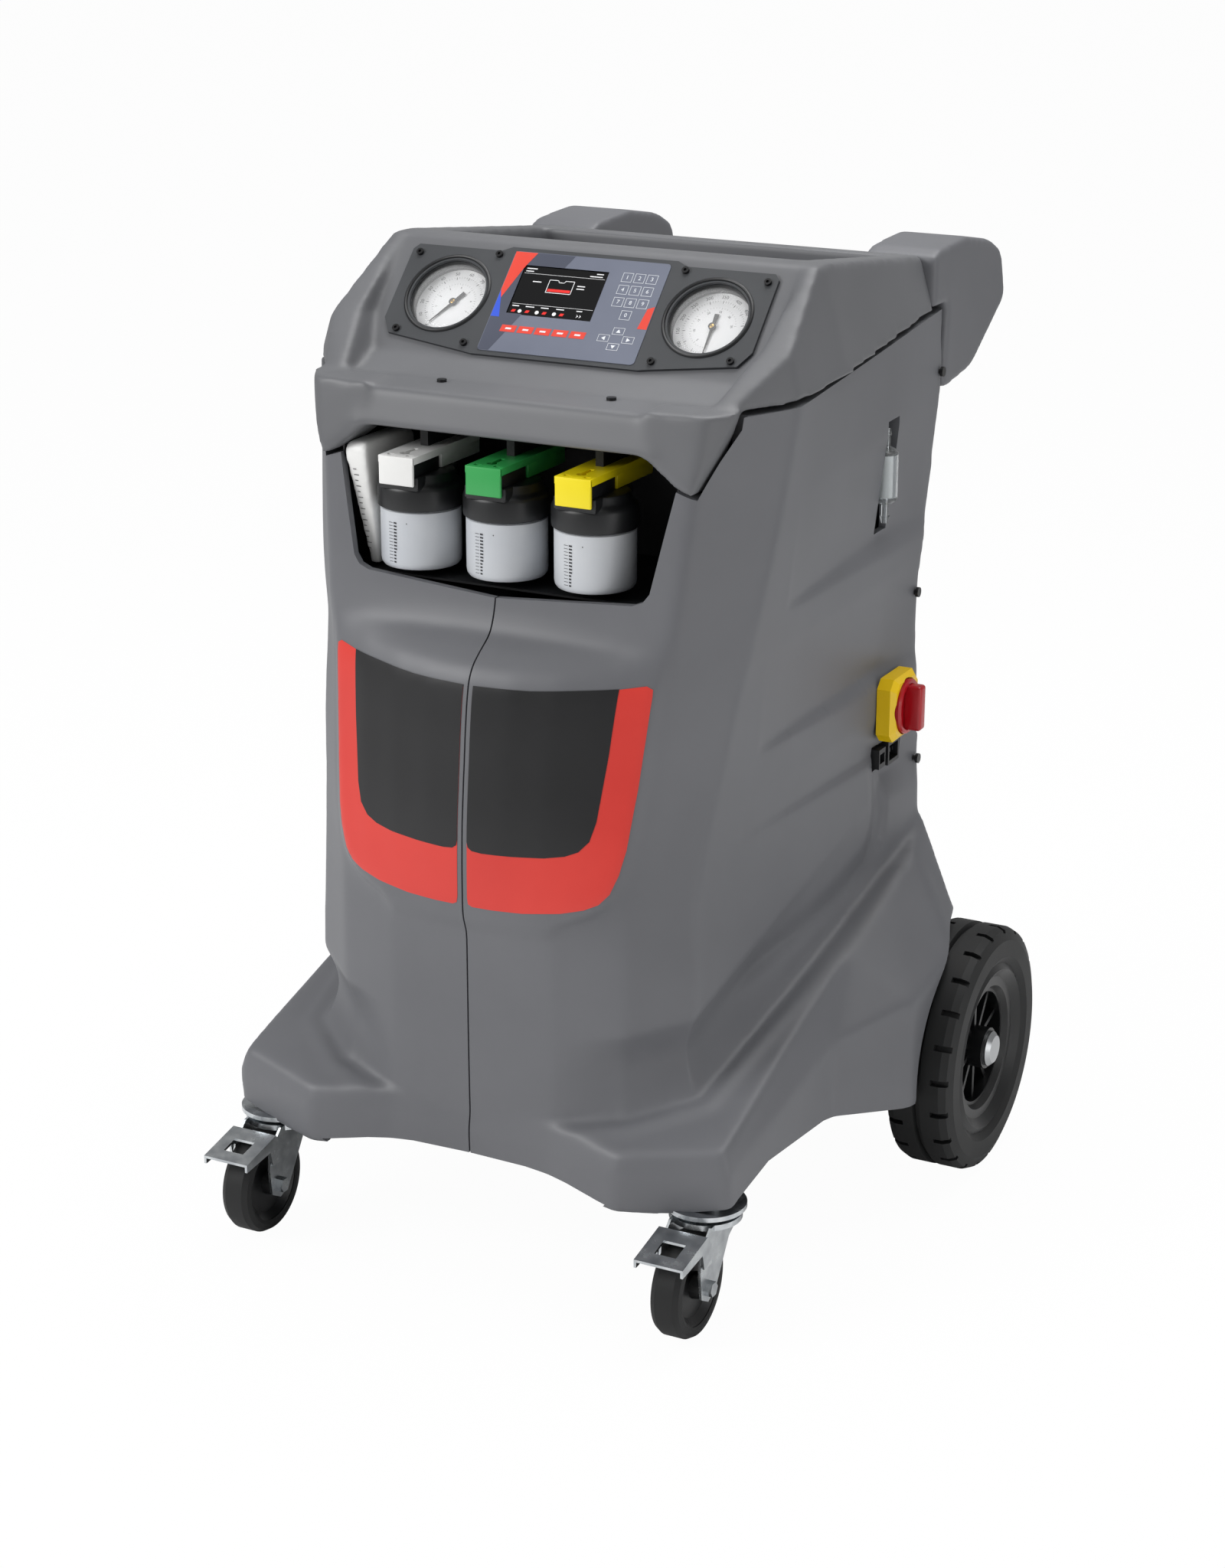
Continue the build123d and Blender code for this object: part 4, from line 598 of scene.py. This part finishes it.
# Bottle bay
# Three translucent jars with printed graduations hang by bulky black caps; a coloured latch plate
# with a keyhole slot slides on each cap's T rail and turns down in front as a blank tag.
jar_skin = finish("jar_skin", "D6DAE0", "E4E7EB", 0.34, 0.002, 0.00001)
jar_skin.node_tree.nodes["Principled BSDF"].inputs["Transmission Weight"].default_value = 0.25
jar_ink = finish("jar_ink", "242428", "2A2A2E", 0.5, 0.002, 0.00001)
latch_white = finish("latch_white", "E4E4E2", "EEEEEC", 0.38, 0.001, 0.00002)
latch_green = finish("latch_green", "2E9B4C", "38A656", 0.38, 0.001, 0.00002)
latch_yellow = finish("latch_yellow", "F2DA00", "F8E41C", 0.38, 0.001, 0.00002)


def turned_form(profile, steps=72):
    """Body of revolution about the local Z axis from (radius, height) points, with closed poles."""
    form = bmesh.new()
    corners = [form.verts.new((radius, 0, height)) for radius, height in profile]
    edges = [form.edges.new(pair) for pair in zip(corners, corners[1:] + corners[:1])]
    bmesh.ops.spin(form, geom=corners + edges, cent=(0, 0, 0), axis=(0, 0, 1), angle=radians(360), steps=steps,
                   use_merge=True)
    bmesh.ops.remove_doubles(form, verts=form.verts, dist=0.0005)
    bmesh.ops.recalc_face_normals(form, faces=form.faces)
    return form


def smooth_piece(piece, angle=38):
    """Shade a piece smooth except along its sharp edges."""
    for face in piece.data.polygons:
        face.use_smooth = True
    piece.data.set_sharp_from_angle(angle=radians(angle))
    return piece


def placed(name, form, material, body_name, frame):
    """Carry a drawing in millimetres to its place on the object and hand it over as a piece."""
    bmesh.ops.recalc_face_normals(form, faces=form.faces)
    bmesh.ops.transform(form, matrix=frame, verts=form.verts)
    piece = to_object(name, form)
    piece.data.materials.append(material)
    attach(piece, body_name)
    return piece


def add_print(form, outline, low, high):
    """Add one closed prism of an outline to a flat drawing."""
    face = form.faces.new([form.verts.new((u, v, low)) for u, v in outline])
    drawn = bmesh.ops.extrude_face_region(form, geom=[face])
    bmesh.ops.translate(form, vec=(0, 0, high - low),
                        verts=[item for item in drawn["geom"] if isinstance(item, bmesh.types.BMVert)])


def rounded_block(x, y, z, radius, segments=3):
    """Bmesh block between two values of X, of Y and of Z with rounded edges, in millimetres."""
    form = bmesh.new()
    bmesh.ops.create_cube(form, size=1)
    bmesh.ops.scale(form, vec=(x[1] - x[0], y[1] - y[0], z[1] - z[0]), verts=form.verts)
    bmesh.ops.translate(form, vec=((x[0] + x[1]) / 2, (y[0] + y[1]) / 2, (z[0] + z[1]) / 2), verts=form.verts)
    bmesh.ops.bevel(form, geom=form.edges, offset=radius, segments=segments, affect="EDGES", profile=0.5,
                    material=-1)
    return form


def joined(*forms):
    """One bmesh from several."""
    whole = forms[0]
    for form in forms[1:]:
        data = bpy.data.meshes.new("part")
        form.to_mesh(data)
        form.free()
        whole.from_mesh(data)
        bpy.data.meshes.remove(data)
    return whole


upright = Matrix.Scale(mm, 4)
bottle_y = -230.0
for word, x, colour in (("first", -102.0, latch_white), ("second", -11.5, latch_green),
                        ("third", 79.0, latch_yellow)):
    body_name = word + "_bottle"
    here = upright @ Matrix.Translation((x, bottle_y, 0))
    jar = turned_form([(0, 662), (31, 662), (35, 663), (36.8, 665.5), (37.4, 669), (37.4, 716), (33.4, 718.5),
                       (33.4, 726), (31.8, 726), (31.8, 716), (35.6, 713), (35.6, 668), (33, 664.4), (0, 664)])
    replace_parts(smooth_piece(placed(word + "_jar_skin", jar, jar_skin, body_name, here)),
                word + "_jar")
    cap = turned_form([(0, 750.6), (0, 727), (33.8, 727), (33.8, 718), (38.4, 718), (39.6, 719), (39.9, 721),
                       (39.9, 736), (39.2, 738.5), (37.6, 740.2), (34.6, 742), (33.2, 744), (32.6, 748),
                       (31.6, 750.2), (29.6, 750.9), (0, 750.9)])
    cap = joined(cap, rounded_block((-20.5, 20.5), (-39.6, 34), (738, 750.8), 2.0))
    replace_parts(smooth_piece(placed(word + "_cap_skin", cap, black_moulding, body_name, here)),
                word + "_cap")
    plate = bmesh.new()
    keyhole = ([(5 * cos(radians(a)), -26 + 5 * sin(radians(a))) for a in range(-240, 61, 20)]
               + [(2.4, -6), (-2.4, -6)])
    top = [(-18, -43.6), (18, -43.6), (18, 79), (-18, 79)]
    add_print(plate, top, 763.4, 769.9)
    latch = to_object(word + "_latch_skin", plate)
    cutter_form = bmesh.new()
    add_print(cutter_form, keyhole, 760, 775)
    cutter_form = joined(cutter_form, rounded_block((-13, -7), (-38, -33), (760, 775), 0.5),
                         rounded_block((7, 13), (-38, -33), (760, 775), 0.5),
                         rounded_block((-4.4, 4.4), (7.4, 78.6), (760, 775), 0.5))
    bmesh.ops.recalc_face_normals(cutter_form, faces=cutter_form.faces)
    keyhole_cutter = to_object("keyhole", cutter_form)
    cut(latch, keyhole_cutter)
    plate = bmesh.new()
    plate.from_mesh(latch.data)
    bpy.data.objects.remove(latch)
    tag = rounded_block((-18, 18), (-43.7, -40.4), (743.2, 769.9), 1.2)
    rear_pads = joined(rounded_block((-18, -10.4), (8, 79), (751.1, 764), 0.8),
                       rounded_block((10.4, 18), (8, 79), (751.1, 764), 0.8))
    plate = joined(plate, tag, rear_pads)
    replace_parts(smooth_piece(placed(word + "_latch_plate", plate, colour, body_name,
                                    here)), word + "_latch")
    block_under = joined(rounded_block((-17, 17), (-40.2, 6), (750.8, 763.2), 1.2),
                         rounded_block((-21, 21), (-40.3, -37), (740, 751), 1.0))
    smooth_piece(placed(word + "_latch_body", block_under, black_moulding, body_name, here))
    marks = bmesh.new()
    turn = Matrix.Rotation(radians(-14), 4, "Z")
    face_frame = here @ turn @ Matrix(((1, 0, 0, 0), (0, 0, -1, -37.42), (0, 1, 0, 0), (0, 0, 0, 1)))
    for tick in range(13):
        level = 669.5 + tick * 3.05
        add_print(marks, [(-4.2, level), (0.4, level), (0.4, level + 0.35), (-4.2, level + 0.35)], 0.02, 0.22)
        add_print(marks, [(1.6, level - 0.5), (4.0 + (tick > 3), level - 0.5), (4.0 + (tick > 3), level + 0.9),
                          (1.6, level + 0.9)], -0.1, 0.12)
    add_print(marks, [(6.5, 706.2), (15.5, 706.2), (15.5, 707.2), (6.5, 707.2)], -3.2, -3.0)
    placed(word + "_jar_marks", marks, jar_ink, body_name, face_frame)
waste = lofted("waste_bottle_skin", [
    [(-152, -240, 657), (-141.5, -240, 657), (-141.5, -172, 657), (-152, -172, 657)],
    [(-169, -255, 766), (-144.5, -255, 766), (-144.5, -166, 766), (-169, -166, 766)],
    [(-166, -250, 774), (-147, -250, 774), (-147, -170, 774), (-166, -170, 774)]])
melted(waste, [], 0.0022, 8)
waste.data.materials.clear()
waste_skin = finish("waste_skin", "E6E6E4", "F2F2F0", 0.4, 0.002, 0.00001)
waste.data.materials.append(waste_skin)
for face in waste.data.polygons:
    face.use_smooth = True
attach(waste, "root")
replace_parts(waste, "waste_bottle")
marks = bmesh.new()
for tick in range(15):
    share = tick / 14
    level = 672 + 76 * share
    left = -152.5 - 7.5 * share
    front = -241.6 - 11.1 * share
    marks = joined(marks, rounded_block((left, left + 3.2 + 1.6 * (tick % 2)), (front - 0.7, front + 0.4),
                                        (level, level + 0.4), 0.05, 1))
placed("waste_bottle_marks", marks, jar_ink, "root", upright)

# Mains switch
# A thick yellow moulding with chamfered corners, a red dished disc in a round well, and a grip
# bar across the disc that turns with it.
switch_yellow = finish("switch_yellow", "EFC500", "F6CF0A", 0.34, 0.001, 0.00002)
switch_red = finish("switch_red", "A80E1A", "B81420", 0.26, 0.001, 0.00001)
side_frame = upright @ Matrix(((0, 0, 1, 0), (1, 0, 0, 118), (0, 1, 0, 474), (0, 0, 0, 1)))
plate_form = bmesh.new()
half, corner = 32.3, 9.0
octagon = [(half, corner - half), (half, half - corner), (half - corner, half), (corner - half, half),
           (-half, half - corner), (-half, corner - half), (corner - half, -half), (half - corner, -half)]
for shrink, depth in ((0, 0), (0, 14), (5, 19)):
    scale = (half - shrink) / half
    ring = [plate_form.verts.new((a * scale, b * scale, 225.6 + depth)) for a, b in octagon]
    edges = [plate_form.edges.new(pair) for pair in zip(ring, ring[1:] + ring[:1])]
    if depth or shrink:
        bmesh.ops.bridge_loops(plate_form, edges=last_edges + edges)
    last_edges = edges
bmesh.ops.holes_fill(plate_form, edges=plate_form.edges, sides=0)
switch_form = joined(plate_form)
cut_well = turned_form([(0, 239), (28.6, 239), (28.6, 260), (0, 260)])
plate_piece = placed("switch_plate_skin", switch_form, switch_yellow, "root", side_frame)
bmesh.ops.transform(cut_well, matrix=side_frame, verts=cut_well.verts)
bmesh.ops.recalc_face_normals(cut_well, faces=cut_well.faces)
cut(plate_piece, to_object("switch_well", cut_well))
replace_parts(smooth_piece(plate_piece, 30), "switch_plate")
knob = turned_form([(0, 239.4), (26.6, 239.4), (27.6, 240.6), (27.6, 246.5), (26.4, 248), (23.8, 248.4), (22.4, 247),
                    (21.6, 244.4), (0, 244)])
knob = joined(knob, rounded_block((-7.2, 7.2), (-23, 23), (243, 262), 3.2, 4))
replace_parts(smooth_piece(placed("switch_knob_skin", knob, switch_red, "switch_handle", side_frame)),
            "switch_knob")

# Inline filter
# A white element in a clear bowl with a barb at each end, clipped in a slot of the right side.
filter_white = finish("filter_white", "E6E6E4", "F0F0EE", 0.6, 0.0006, 0.00005)
dress(filter_white, "filter_element")
clear_bowl = finish("clear_bowl", "F2F6F8", "FAFCFD", 0.1, 0.004, 0.00001, gloss_spread=0.02)
clear_bowl.node_tree.nodes["Principled BSDF"].inputs["Transmission Weight"].default_value = 0.9
clear_bowl.node_tree.nodes["Principled BSDF"].inputs["IOR"].default_value = 1.3
dress(clear_bowl, "filter_housing")

# Hood
# One moulding over the column: a rounded nose above the bottle bay, a ledge, the sloping console
# between two raised cheeks, a storage tray behind the rim, and two ears that frame the bay.
hood_low_ring = [(0, -266), (150, -266), (198, -254), (259, -168), (262, -60), (241, 208), (226, 245)]
hood_high_ring = [(0, -224), (144.8, -224), (172.7, -217), (217.4, -154.1), (220, -61.1), (199.6, 198.2),
                  (197.7, 203)]
cover_side = [(-256, 828), (-222, 833), (-185, 858), (-150, 882), (-72, 936), (-48, 936), (176, 908),
              (212, 903), (250, 880), (250, 852.8), (-275, 826.5)]
nose_side = [(-275, 793), (-275, 812), (-256, 826), (-222, 833), (-185, 858), (-150, 882), (-150, 826),
             (-226, 793)]
console_side = [(-300, 829), (-200, 829), (-163.6, 841.4), (-68, 938), (-110, 980), (-300, 980)]
pocket_front = [(-186, 822), (186, 822), (189, 836), (206, 874), (213, 990), (-213, 990), (-206, 874),
                (-189, 836)]
hood_hollow_side = [(-146, 770), (-146, 838), (-77, 909), (-44, 909), (-44, 860), (178, 860), (178, 880),
                    (205, 880), (205, 770)]
console_tilt = radians(45.3)


def console_spot(u, v, w):
    """Point at u across and v up the console, w in front of its plate, in millimetres."""
    return (u, -120.75 + v * cos(console_tilt) - w * sin(console_tilt),
            889 + v * sin(console_tilt) + w * cos(console_tilt))


def console_form(name, outline, low, high):
    """Closed prism on the console from an outline of (u, v) between two heights above its plate."""
    return lofted(name, [[console_spot(u, v, w) for u, v in outline] for w in (low, high)])


def ring_of(points, z):
    """Full level ring from its right half."""
    return [(x, y, z) for x, y in points + [(-x, y) for x, y in reversed(points) if x > 0]]


def drafted(name, side, half_width, low_ring, low_z, high_ring, high_z):
    """Form with drafted walls, cut to a side view between two planes X."""
    form = lofted(name, [ring_of(low_ring, low_z), ring_of(high_ring, high_z)])
    return cut(form, slab("side_view", side, -half_width, half_width, "X"), "INTERSECT")


hood = drafted("hood_skin", cover_side, 300, hood_low_ring, 790, hood_high_ring, 945)
nose = drafted("nose", nose_side, 192, hood_low_ring, 790, hood_high_ring, 945)
pocket = slab("pocket", pocket_front, -300, 0, "Y")
cut(pocket, slab("console_side", console_side, -250, 250, "X"), "INTERSECT")
cut(hood, pocket, keep=True)
cut(nose, pocket)
cut(hood, slab("tray", [(-34, 868), (168, 868), (168, 990), (-34, 990)], -186, 186, "X"))
ears = []
for side in (1, -1):
    ear = slab("ear", [(side * x, z) for x, z in ((140, 793), (172, 768), (188, 761), (200, 790), (211, 819),
                                                  (215, 832), (140, 832))], -310, -212, "Y")
    cut(ear, lofted("ear_form", [column_ring(z, -3, -9) for z in range(740, 881, 20)]), "INTERSECT")
    ears.append(ear)
melted(hood, [nose] + ears, 0.0033, 7)
circle = [(41 * cos(radians(k * 5)), 41 * sin(radians(k * 5))) for k in range(72)]
for cutter in (slab("hood_hollow", hood_hollow_side, -200, 200, "X"),
               console_form("right_well", [(134.9 + u * 1.09, 2.5 + v * 1.09) for u, v in circle], -60, 4),
               console_form("left_well", [(-134.9 + u * 1.09, 2.5 + v * 1.09) for u, v in circle], -60, 4),
               console_form("display_window", [(-81, -20.5), (29, -20.5), (29, 52.5), (-81, 52.5)], -60, 4),
               box_between("right_notch", (149.7, 320), (204.7, 320), (780, 990)),
               box_between("left_notch", (-320, -149.7), (204.7, 320), (780, 990))):
    cut(hood, cutter)
hood_grey = finish("hood_grey", "5E5F62", "68696C", 0.47, 0.0009, 0.00006, patch=4.0)
hood.data.materials.clear()
hood.data.materials.append(hood_grey)
for face in hood.data.polygons:
    face.use_smooth = True
hood.data.set_sharp_from_angle(angle=radians(38))
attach(hood, "root")
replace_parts(hood, "hood")

# Handles
# Two hollow moulded horns bolted to the column's rear corners, with every edge well rounded.
for word in ("left", "right"):
    horn_form = bmesh.new()
    horn_form.from_mesh(nodes[word + "_handle"].data)
    bmesh.ops.remove_doubles(horn_form, verts=horn_form.verts, dist=0.00001)
    horn = to_object(word + "_handle_skin", horn_form)
    melted(horn, [], 0.0028, 8)
    horn.data.materials.clear()
    horn.data.materials.append(body_grey)
    for face in horn.data.polygons:
        face.use_smooth = True
    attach(horn, "root")
    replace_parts(horn, word + "_handle")

# Console plate and keypad
# A dark moulded plate with two wings, held by black socket screws. On it lies a printed membrane
# with digit and arrow keys, five red keys under the display, and coloured wedges at its ends.
fascia_grey = finish("fascia_grey", "37393C", "3E4043", 0.5, 0.0008, 0.00005)
dress(fascia_grey, "fascia_plate")
keypad_slate = finish("keypad_slate", "686D7C", "707584", 0.36, 0.0008, 0.00001)
dress(keypad_slate, "keypad")
print_dark = finish("print_dark", "464A58", "4C505F", 0.38, 0.0008, 0.00001)
print_red = finish("print_red", "D8402F", "E0483A", 0.38, 0.0008, 0.00001)
print_blue = finish("print_blue", "2F52C8", "3659D2", 0.38, 0.0008, 0.00001)
print_white = finish("print_white", "DDE0E6", "E6E8EC", 0.4, 0.0008, 0.00001)
screen_black = finish("screen_black", "060608", "0A0A0C", 0.14, 0.004, 0.00001, gloss_spread=0.03)
dress(screen_black, "display_module")
console_frame = Matrix(((1, 0, 0, 0), (0, cos(console_tilt), -sin(console_tilt), -120.75),
                        (0, sin(console_tilt), cos(console_tilt), 889), (0, 0, 0, 1)))
console_frame = Matrix.Scale(mm, 4) @ console_frame


def add_text(form, text, u, v, size, low, turn=0.0):
    """Add digits to a flat drawing as thin solid letters, centred on a spot."""
    curve = bpy.data.curves.new("digits", "FONT")
    curve.body = text
    curve.size = size
    curve.align_x = "CENTER"
    curve.align_y = "CENTER"
    curve.extrude = 0.05
    curve.resolution_u = 3
    holder = bpy.data.objects.new("digits", curve)
    scene.collection.objects.link(holder)
    graph = bpy.context.evaluated_depsgraph_get()
    data = bpy.data.meshes.new_from_object(holder.evaluated_get(graph))
    data.transform(Matrix.Translation((u, v, low)) @ Matrix.Rotation(turn, 4, "Z"))
    form.from_mesh(data)
    bpy.data.objects.remove(holder)
    bpy.data.meshes.remove(data)


def add_frame(form, u, v, width, height, line, low, high, lean=0.0):
    """Add the thin outline of a key to a flat drawing."""
    half_w, half_h = width / 2, height / 2
    for outer in (((-half_w, half_h - line), (half_w, half_h - line), (half_w, half_h), (-half_w, half_h)),
                  ((-half_w, -half_h), (half_w, -half_h), (half_w, line - half_h), (-half_w, line - half_h)),
                  ((-half_w, line - half_h), (line - half_w, line - half_h), (line - half_w, half_h - line),
                   (-half_w, half_h - line)),
                  ((half_w - line, line - half_h), (half_w, line - half_h), (half_w, half_h - line),
                   (half_w - line, half_h - line))):
        add_print(form, [(u + a, v + b) for a, b in outer], low, high)


film_top = 0.62
layer = bmesh.new()
for outline in ([(-80.5, -54), (-79.5, -55), (-69, -55), (-49.5, -13), (-80.5, -13)],
                [(-80.5, -13), (-66, -13), (-66, 41), (-80.5, 41)],
                [(-80.5, 41), (-24.5, 41), (-18, 55), (-80.5, 55)]):
    add_print(layer, outline, film_top, film_top + 0.08)
placed("keypad_dark_print", layer, print_dark, "root", console_frame)
layer = bmesh.new()
add_print(layer, [(-24.5, 41), (22.6, 41), (22.6, 46.6), (-22, 46.6)], film_top, film_top + 0.08)
placed("keypad_slate_print", layer, keypad_slate, "root", console_frame)
layer = bmesh.new()
add_print(layer, [(-80.5, 55), (-57.5, 55), (-64.4, 41.2), (-66.2, 37), (-77.5, 3), (-80.5, 12)], film_top,
          film_top + 0.14)
add_print(layer, [(80.5, 8), (74, 5), (71, -17), (80.5, -17)], film_top, film_top + 0.14)
for key in range(5):
    u = -57.2 + key * 18
    add_print(layer, [(u - 8.2, -33.6), (u + 7.4, -33.6), (u + 8.2, -26.2), (u - 7.4, -26.2)], film_top,
              film_top + 0.14)
placed("keypad_red_print", layer, print_red, "root", console_frame)
layer = bmesh.new()
add_print(layer, [(-80.5, 11), (-77.3, 2), (-71.5, -18), (-80.5, -18)], film_top, film_top + 0.14)
placed("keypad_blue_print", layer, print_blue, "root", console_frame)
layer = bmesh.new()
for key in range(5):
    add_print(layer, [(-60.4 + key * 18, -30.8), (-54.4 + key * 18, -30.8), (-54.0 + key * 18, -29),
                      (-60.0 + key * 18, -29)], film_top, film_top + 0.22)
for count in range(10):
    u = (42.0, 54.6, 67.2)[count % 3] if count < 9 else 54.6
    v = 37 - 13.6 * (count // 3)
    add_text(layer, str((count + 1) % 10), u, v, 6.0, film_top + 0.1)
    add_frame(layer, u, v, 10.4, 10.0, 0.35, film_top, film_top + 0.14)
for u, v, turn in ((54.0, -21.5, 0), (41.5, -30, 90), (66.5, -30, 270), (54.0, -38.5, 180)):
    tip = [(0, 2.1), (-2.3, -1.6), (2.3, -1.6)]
    add_print(layer, [(u + a * cos(radians(turn)) - b * sin(radians(turn)),
                       v + a * sin(radians(turn)) + b * cos(radians(turn))) for a, b in tip], film_top,
              film_top + 0.16)
    add_frame(layer, u, v, 11.4, 7.4, 0.35, film_top, film_top + 0.14)
placed("keypad_white_print", layer, print_white, "root", console_frame)

# Display
# A black glass front with a lit drawing of the storage tank, its level and five soft-key marks.
screen_top = -0.18
lit_white = finish("lit_white", "E8E8EA", "F0F0F2", 0.5, 0.002, 0.00001)
lit_red = finish("lit_red", "E01810", "E82018", 0.5, 0.002, 0.00001)
layer = bmesh.new()
tank = [(-35, 27.4), (-26, 27.4), (-24.6, 25.2), (-19.6, 25.2), (-18.2, 27.4), (-9.2, 27.4), (-9.2, 13.4),
        (-35, 13.4)]
for (u0, v0), (u1, v1) in zip(tank, tank[1:] + tank[:1]):
    run = Vector((u1 - u0, v1 - v0)).normalized() * 0.3
    off = Vector((-run.y, run.x))
    add_print(layer, [(u0 - run.x - off.x, v0 - run.y - off.y), (u1 + run.x - off.x, v1 + run.y - off.y),
                      (u1 + run.x + off.x, v1 + run.y + off.y), (u0 - run.x + off.x, v0 - run.y + off.y)],
              screen_top, screen_top + 0.1)
for u, v, length in ((-63, 37.6, 11), (-63, 34.6, 8), (-52, 23.6, 9), (-5, 22.6, 8), (-5, 19.6, 8), (10, 37.6, 7),
                     (4, 34.6, 13), (-63, -4.4, 7), (-49, -4.4, 9), (-33, -4.4, 8), (-17, -4.4, 8),
                     (4, -4.4, 6)):
    add_print(layer, [(u, v), (u + length, v), (u + length, v + 1.0), (u, v + 1.0)], screen_top,
              screen_top + 0.1)
add_print(layer, [(-64, 32.6), (20, 32.6), (20, 32.9), (-64, 32.9)], screen_top, screen_top + 0.1)
add_print(layer, [(-64, -1.6), (20, -1.6), (20, -1.3), (-64, -1.3)], screen_top, screen_top + 0.1)
for u in (-50, -32, -14):
    add_print(layer, [(u - 3.4 + 2 * cos(radians(k * 30)), -9.4 + 2 * sin(radians(k * 30))) for k in range(12)],
              screen_top, screen_top + 0.1)
for u in (5.5, 8.5):
    add_print(layer, [(u, -7.6), (u + 2.2, -9.4), (u, -11.2), (u + 0.9, -9.4)], screen_top, screen_top + 0.1)
placed("display_white_marks", layer, lit_white, "root", console_frame)
layer = bmesh.new()
add_print(layer, [(-33.8, 14.6), (-10.4, 14.6), (-10.4, 17.6), (-33.8, 17.6)], screen_top, screen_top + 0.1)
for u in (-60, -45.6, -27.6, -9.6):
    add_print(layer, [(u - 2.4, -10.8), (u + 1.4, -10.8), (u + 2.4, -8), (u - 1.4, -8)], screen_top,
              screen_top + 0.1)
placed("display_red_marks", layer, lit_red, "root", console_frame)

# Gauges
# Two dial gauges sit in round wells: a black case with a rounded bezel, a white dial with two
# printed scales, a clear domed lens, and a black needle with a brass hub.
dial_white = finish("dial_white", "E8E9EA", "F0F0F1", 0.5, 0.002, 0.00001)
dress(dial_white, "gauge_dials")
needle_black = finish("needle_black", "0C0C0E", "121214", 0.35, 0.002, 0.00001)
dress(needle_black, "low_needle", "high_needle", "screws")
dial_ink = finish("dial_ink", "2A2A2C", "303032", 0.5, 0.002, 0.00001)
lens_clear = finish("lens_clear", "FAFBFC", "FFFFFF", 0.05, 0.004, 0.000002, gloss_spread=0.01)
lens_clear.node_tree.nodes["Principled BSDF"].inputs["Alpha"].default_value = 0.1
dial_face = -15.98


for word, u, start, outer_step, inner_step, inner_count in (("low", -134.9, 234, 10, 1, 8), ("high", 134.9, 270, 50, 5, 8)):
    frame_here = console_frame @ Matrix.Translation((u, 2.5, 0))
    marks = bmesh.new()
    sweep_angle = 260.0
    for tick in range(51):
        angle = radians(start - sweep_angle * tick / 50)
        reach = 26.6 if tick % 5 == 0 else 28.2
        half = 0.3 if tick % 5 == 0 else 0.15
        away_dir = Vector((cos(angle), sin(angle)))
        across = Vector((-sin(angle), cos(angle))) * half
        add_print(marks, [tuple(away_dir * reach - across), tuple(away_dir * 29.6 - across),
                          tuple(away_dir * 29.6 + across), tuple(away_dir * reach + across)], dial_face,
                  dial_face + 0.06)
        if tick % 5 == 0:
            add_text(marks, str(outer_step * tick // 5), 33.4 * cos(angle), 33.4 * sin(angle), 4.8,
                     dial_face + 0.04, angle - radians(90))
    for tick in range(5 * inner_count - 4):
        angle = radians(start - sweep_angle * tick / (5 * inner_count - 5))
        reach = 20.2 if tick % 5 == 0 else 21.2
        away_dir = Vector((cos(angle), sin(angle)))
        across = Vector((-sin(angle), cos(angle))) * 0.12
        add_print(marks, [tuple(away_dir * reach - across), tuple(away_dir * 22.4 - across),
                          tuple(away_dir * 22.4 + across), tuple(away_dir * reach + across)], dial_face,
                  dial_face + 0.06)
        if tick % 5 == 0:
            add_text(marks, str(inner_step * tick // 5), 17.6 * cos(angle), 17.6 * sin(angle), 3.2,
                     dial_face + 0.04, angle - radians(90))
    placed(word + "_dial_print", marks, dial_ink, "root", frame_here)
    bezel = turned_form([(39.6, -3), (44.0, -3), (44.2, -0.6), (43.4, 1.0), (42.2, 1.6), (41.0, 1.2), (40.0, -0.6),
                         (38.6, -8), (38.4, -15.9), (39.6, -15.9)])
    smooth_piece(placed(word + "_gauge_bezel", bezel, black_moulding, "root", frame_here))
    dome = turned_form([(0, -0.2), (12, -0.5), (24, -1.5), (32, -3.0), (36.6, -4.6), (38.2, -6.4), (38.2, -12),
                        (37.2, -12), (37.2, -7.0), (35.8, -5.6), (31.6, -4.0), (24, -2.6), (12, -1.6), (0, -1.3)])
    lens = smooth_piece(placed(word + "_gauge_dome", dome, lens_clear, "root", frame_here))
    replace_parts(lens, "gauge_lenses")
    hub = turned_form([(0, -12.2), (2.0, -12.3), (2.7, -12.8), (2.9, -13.6), (0, -13.6)], 32)
    smooth_piece(placed(word + "_needle_hub", hub, port_brass, word + "_needle_body", frame_here))
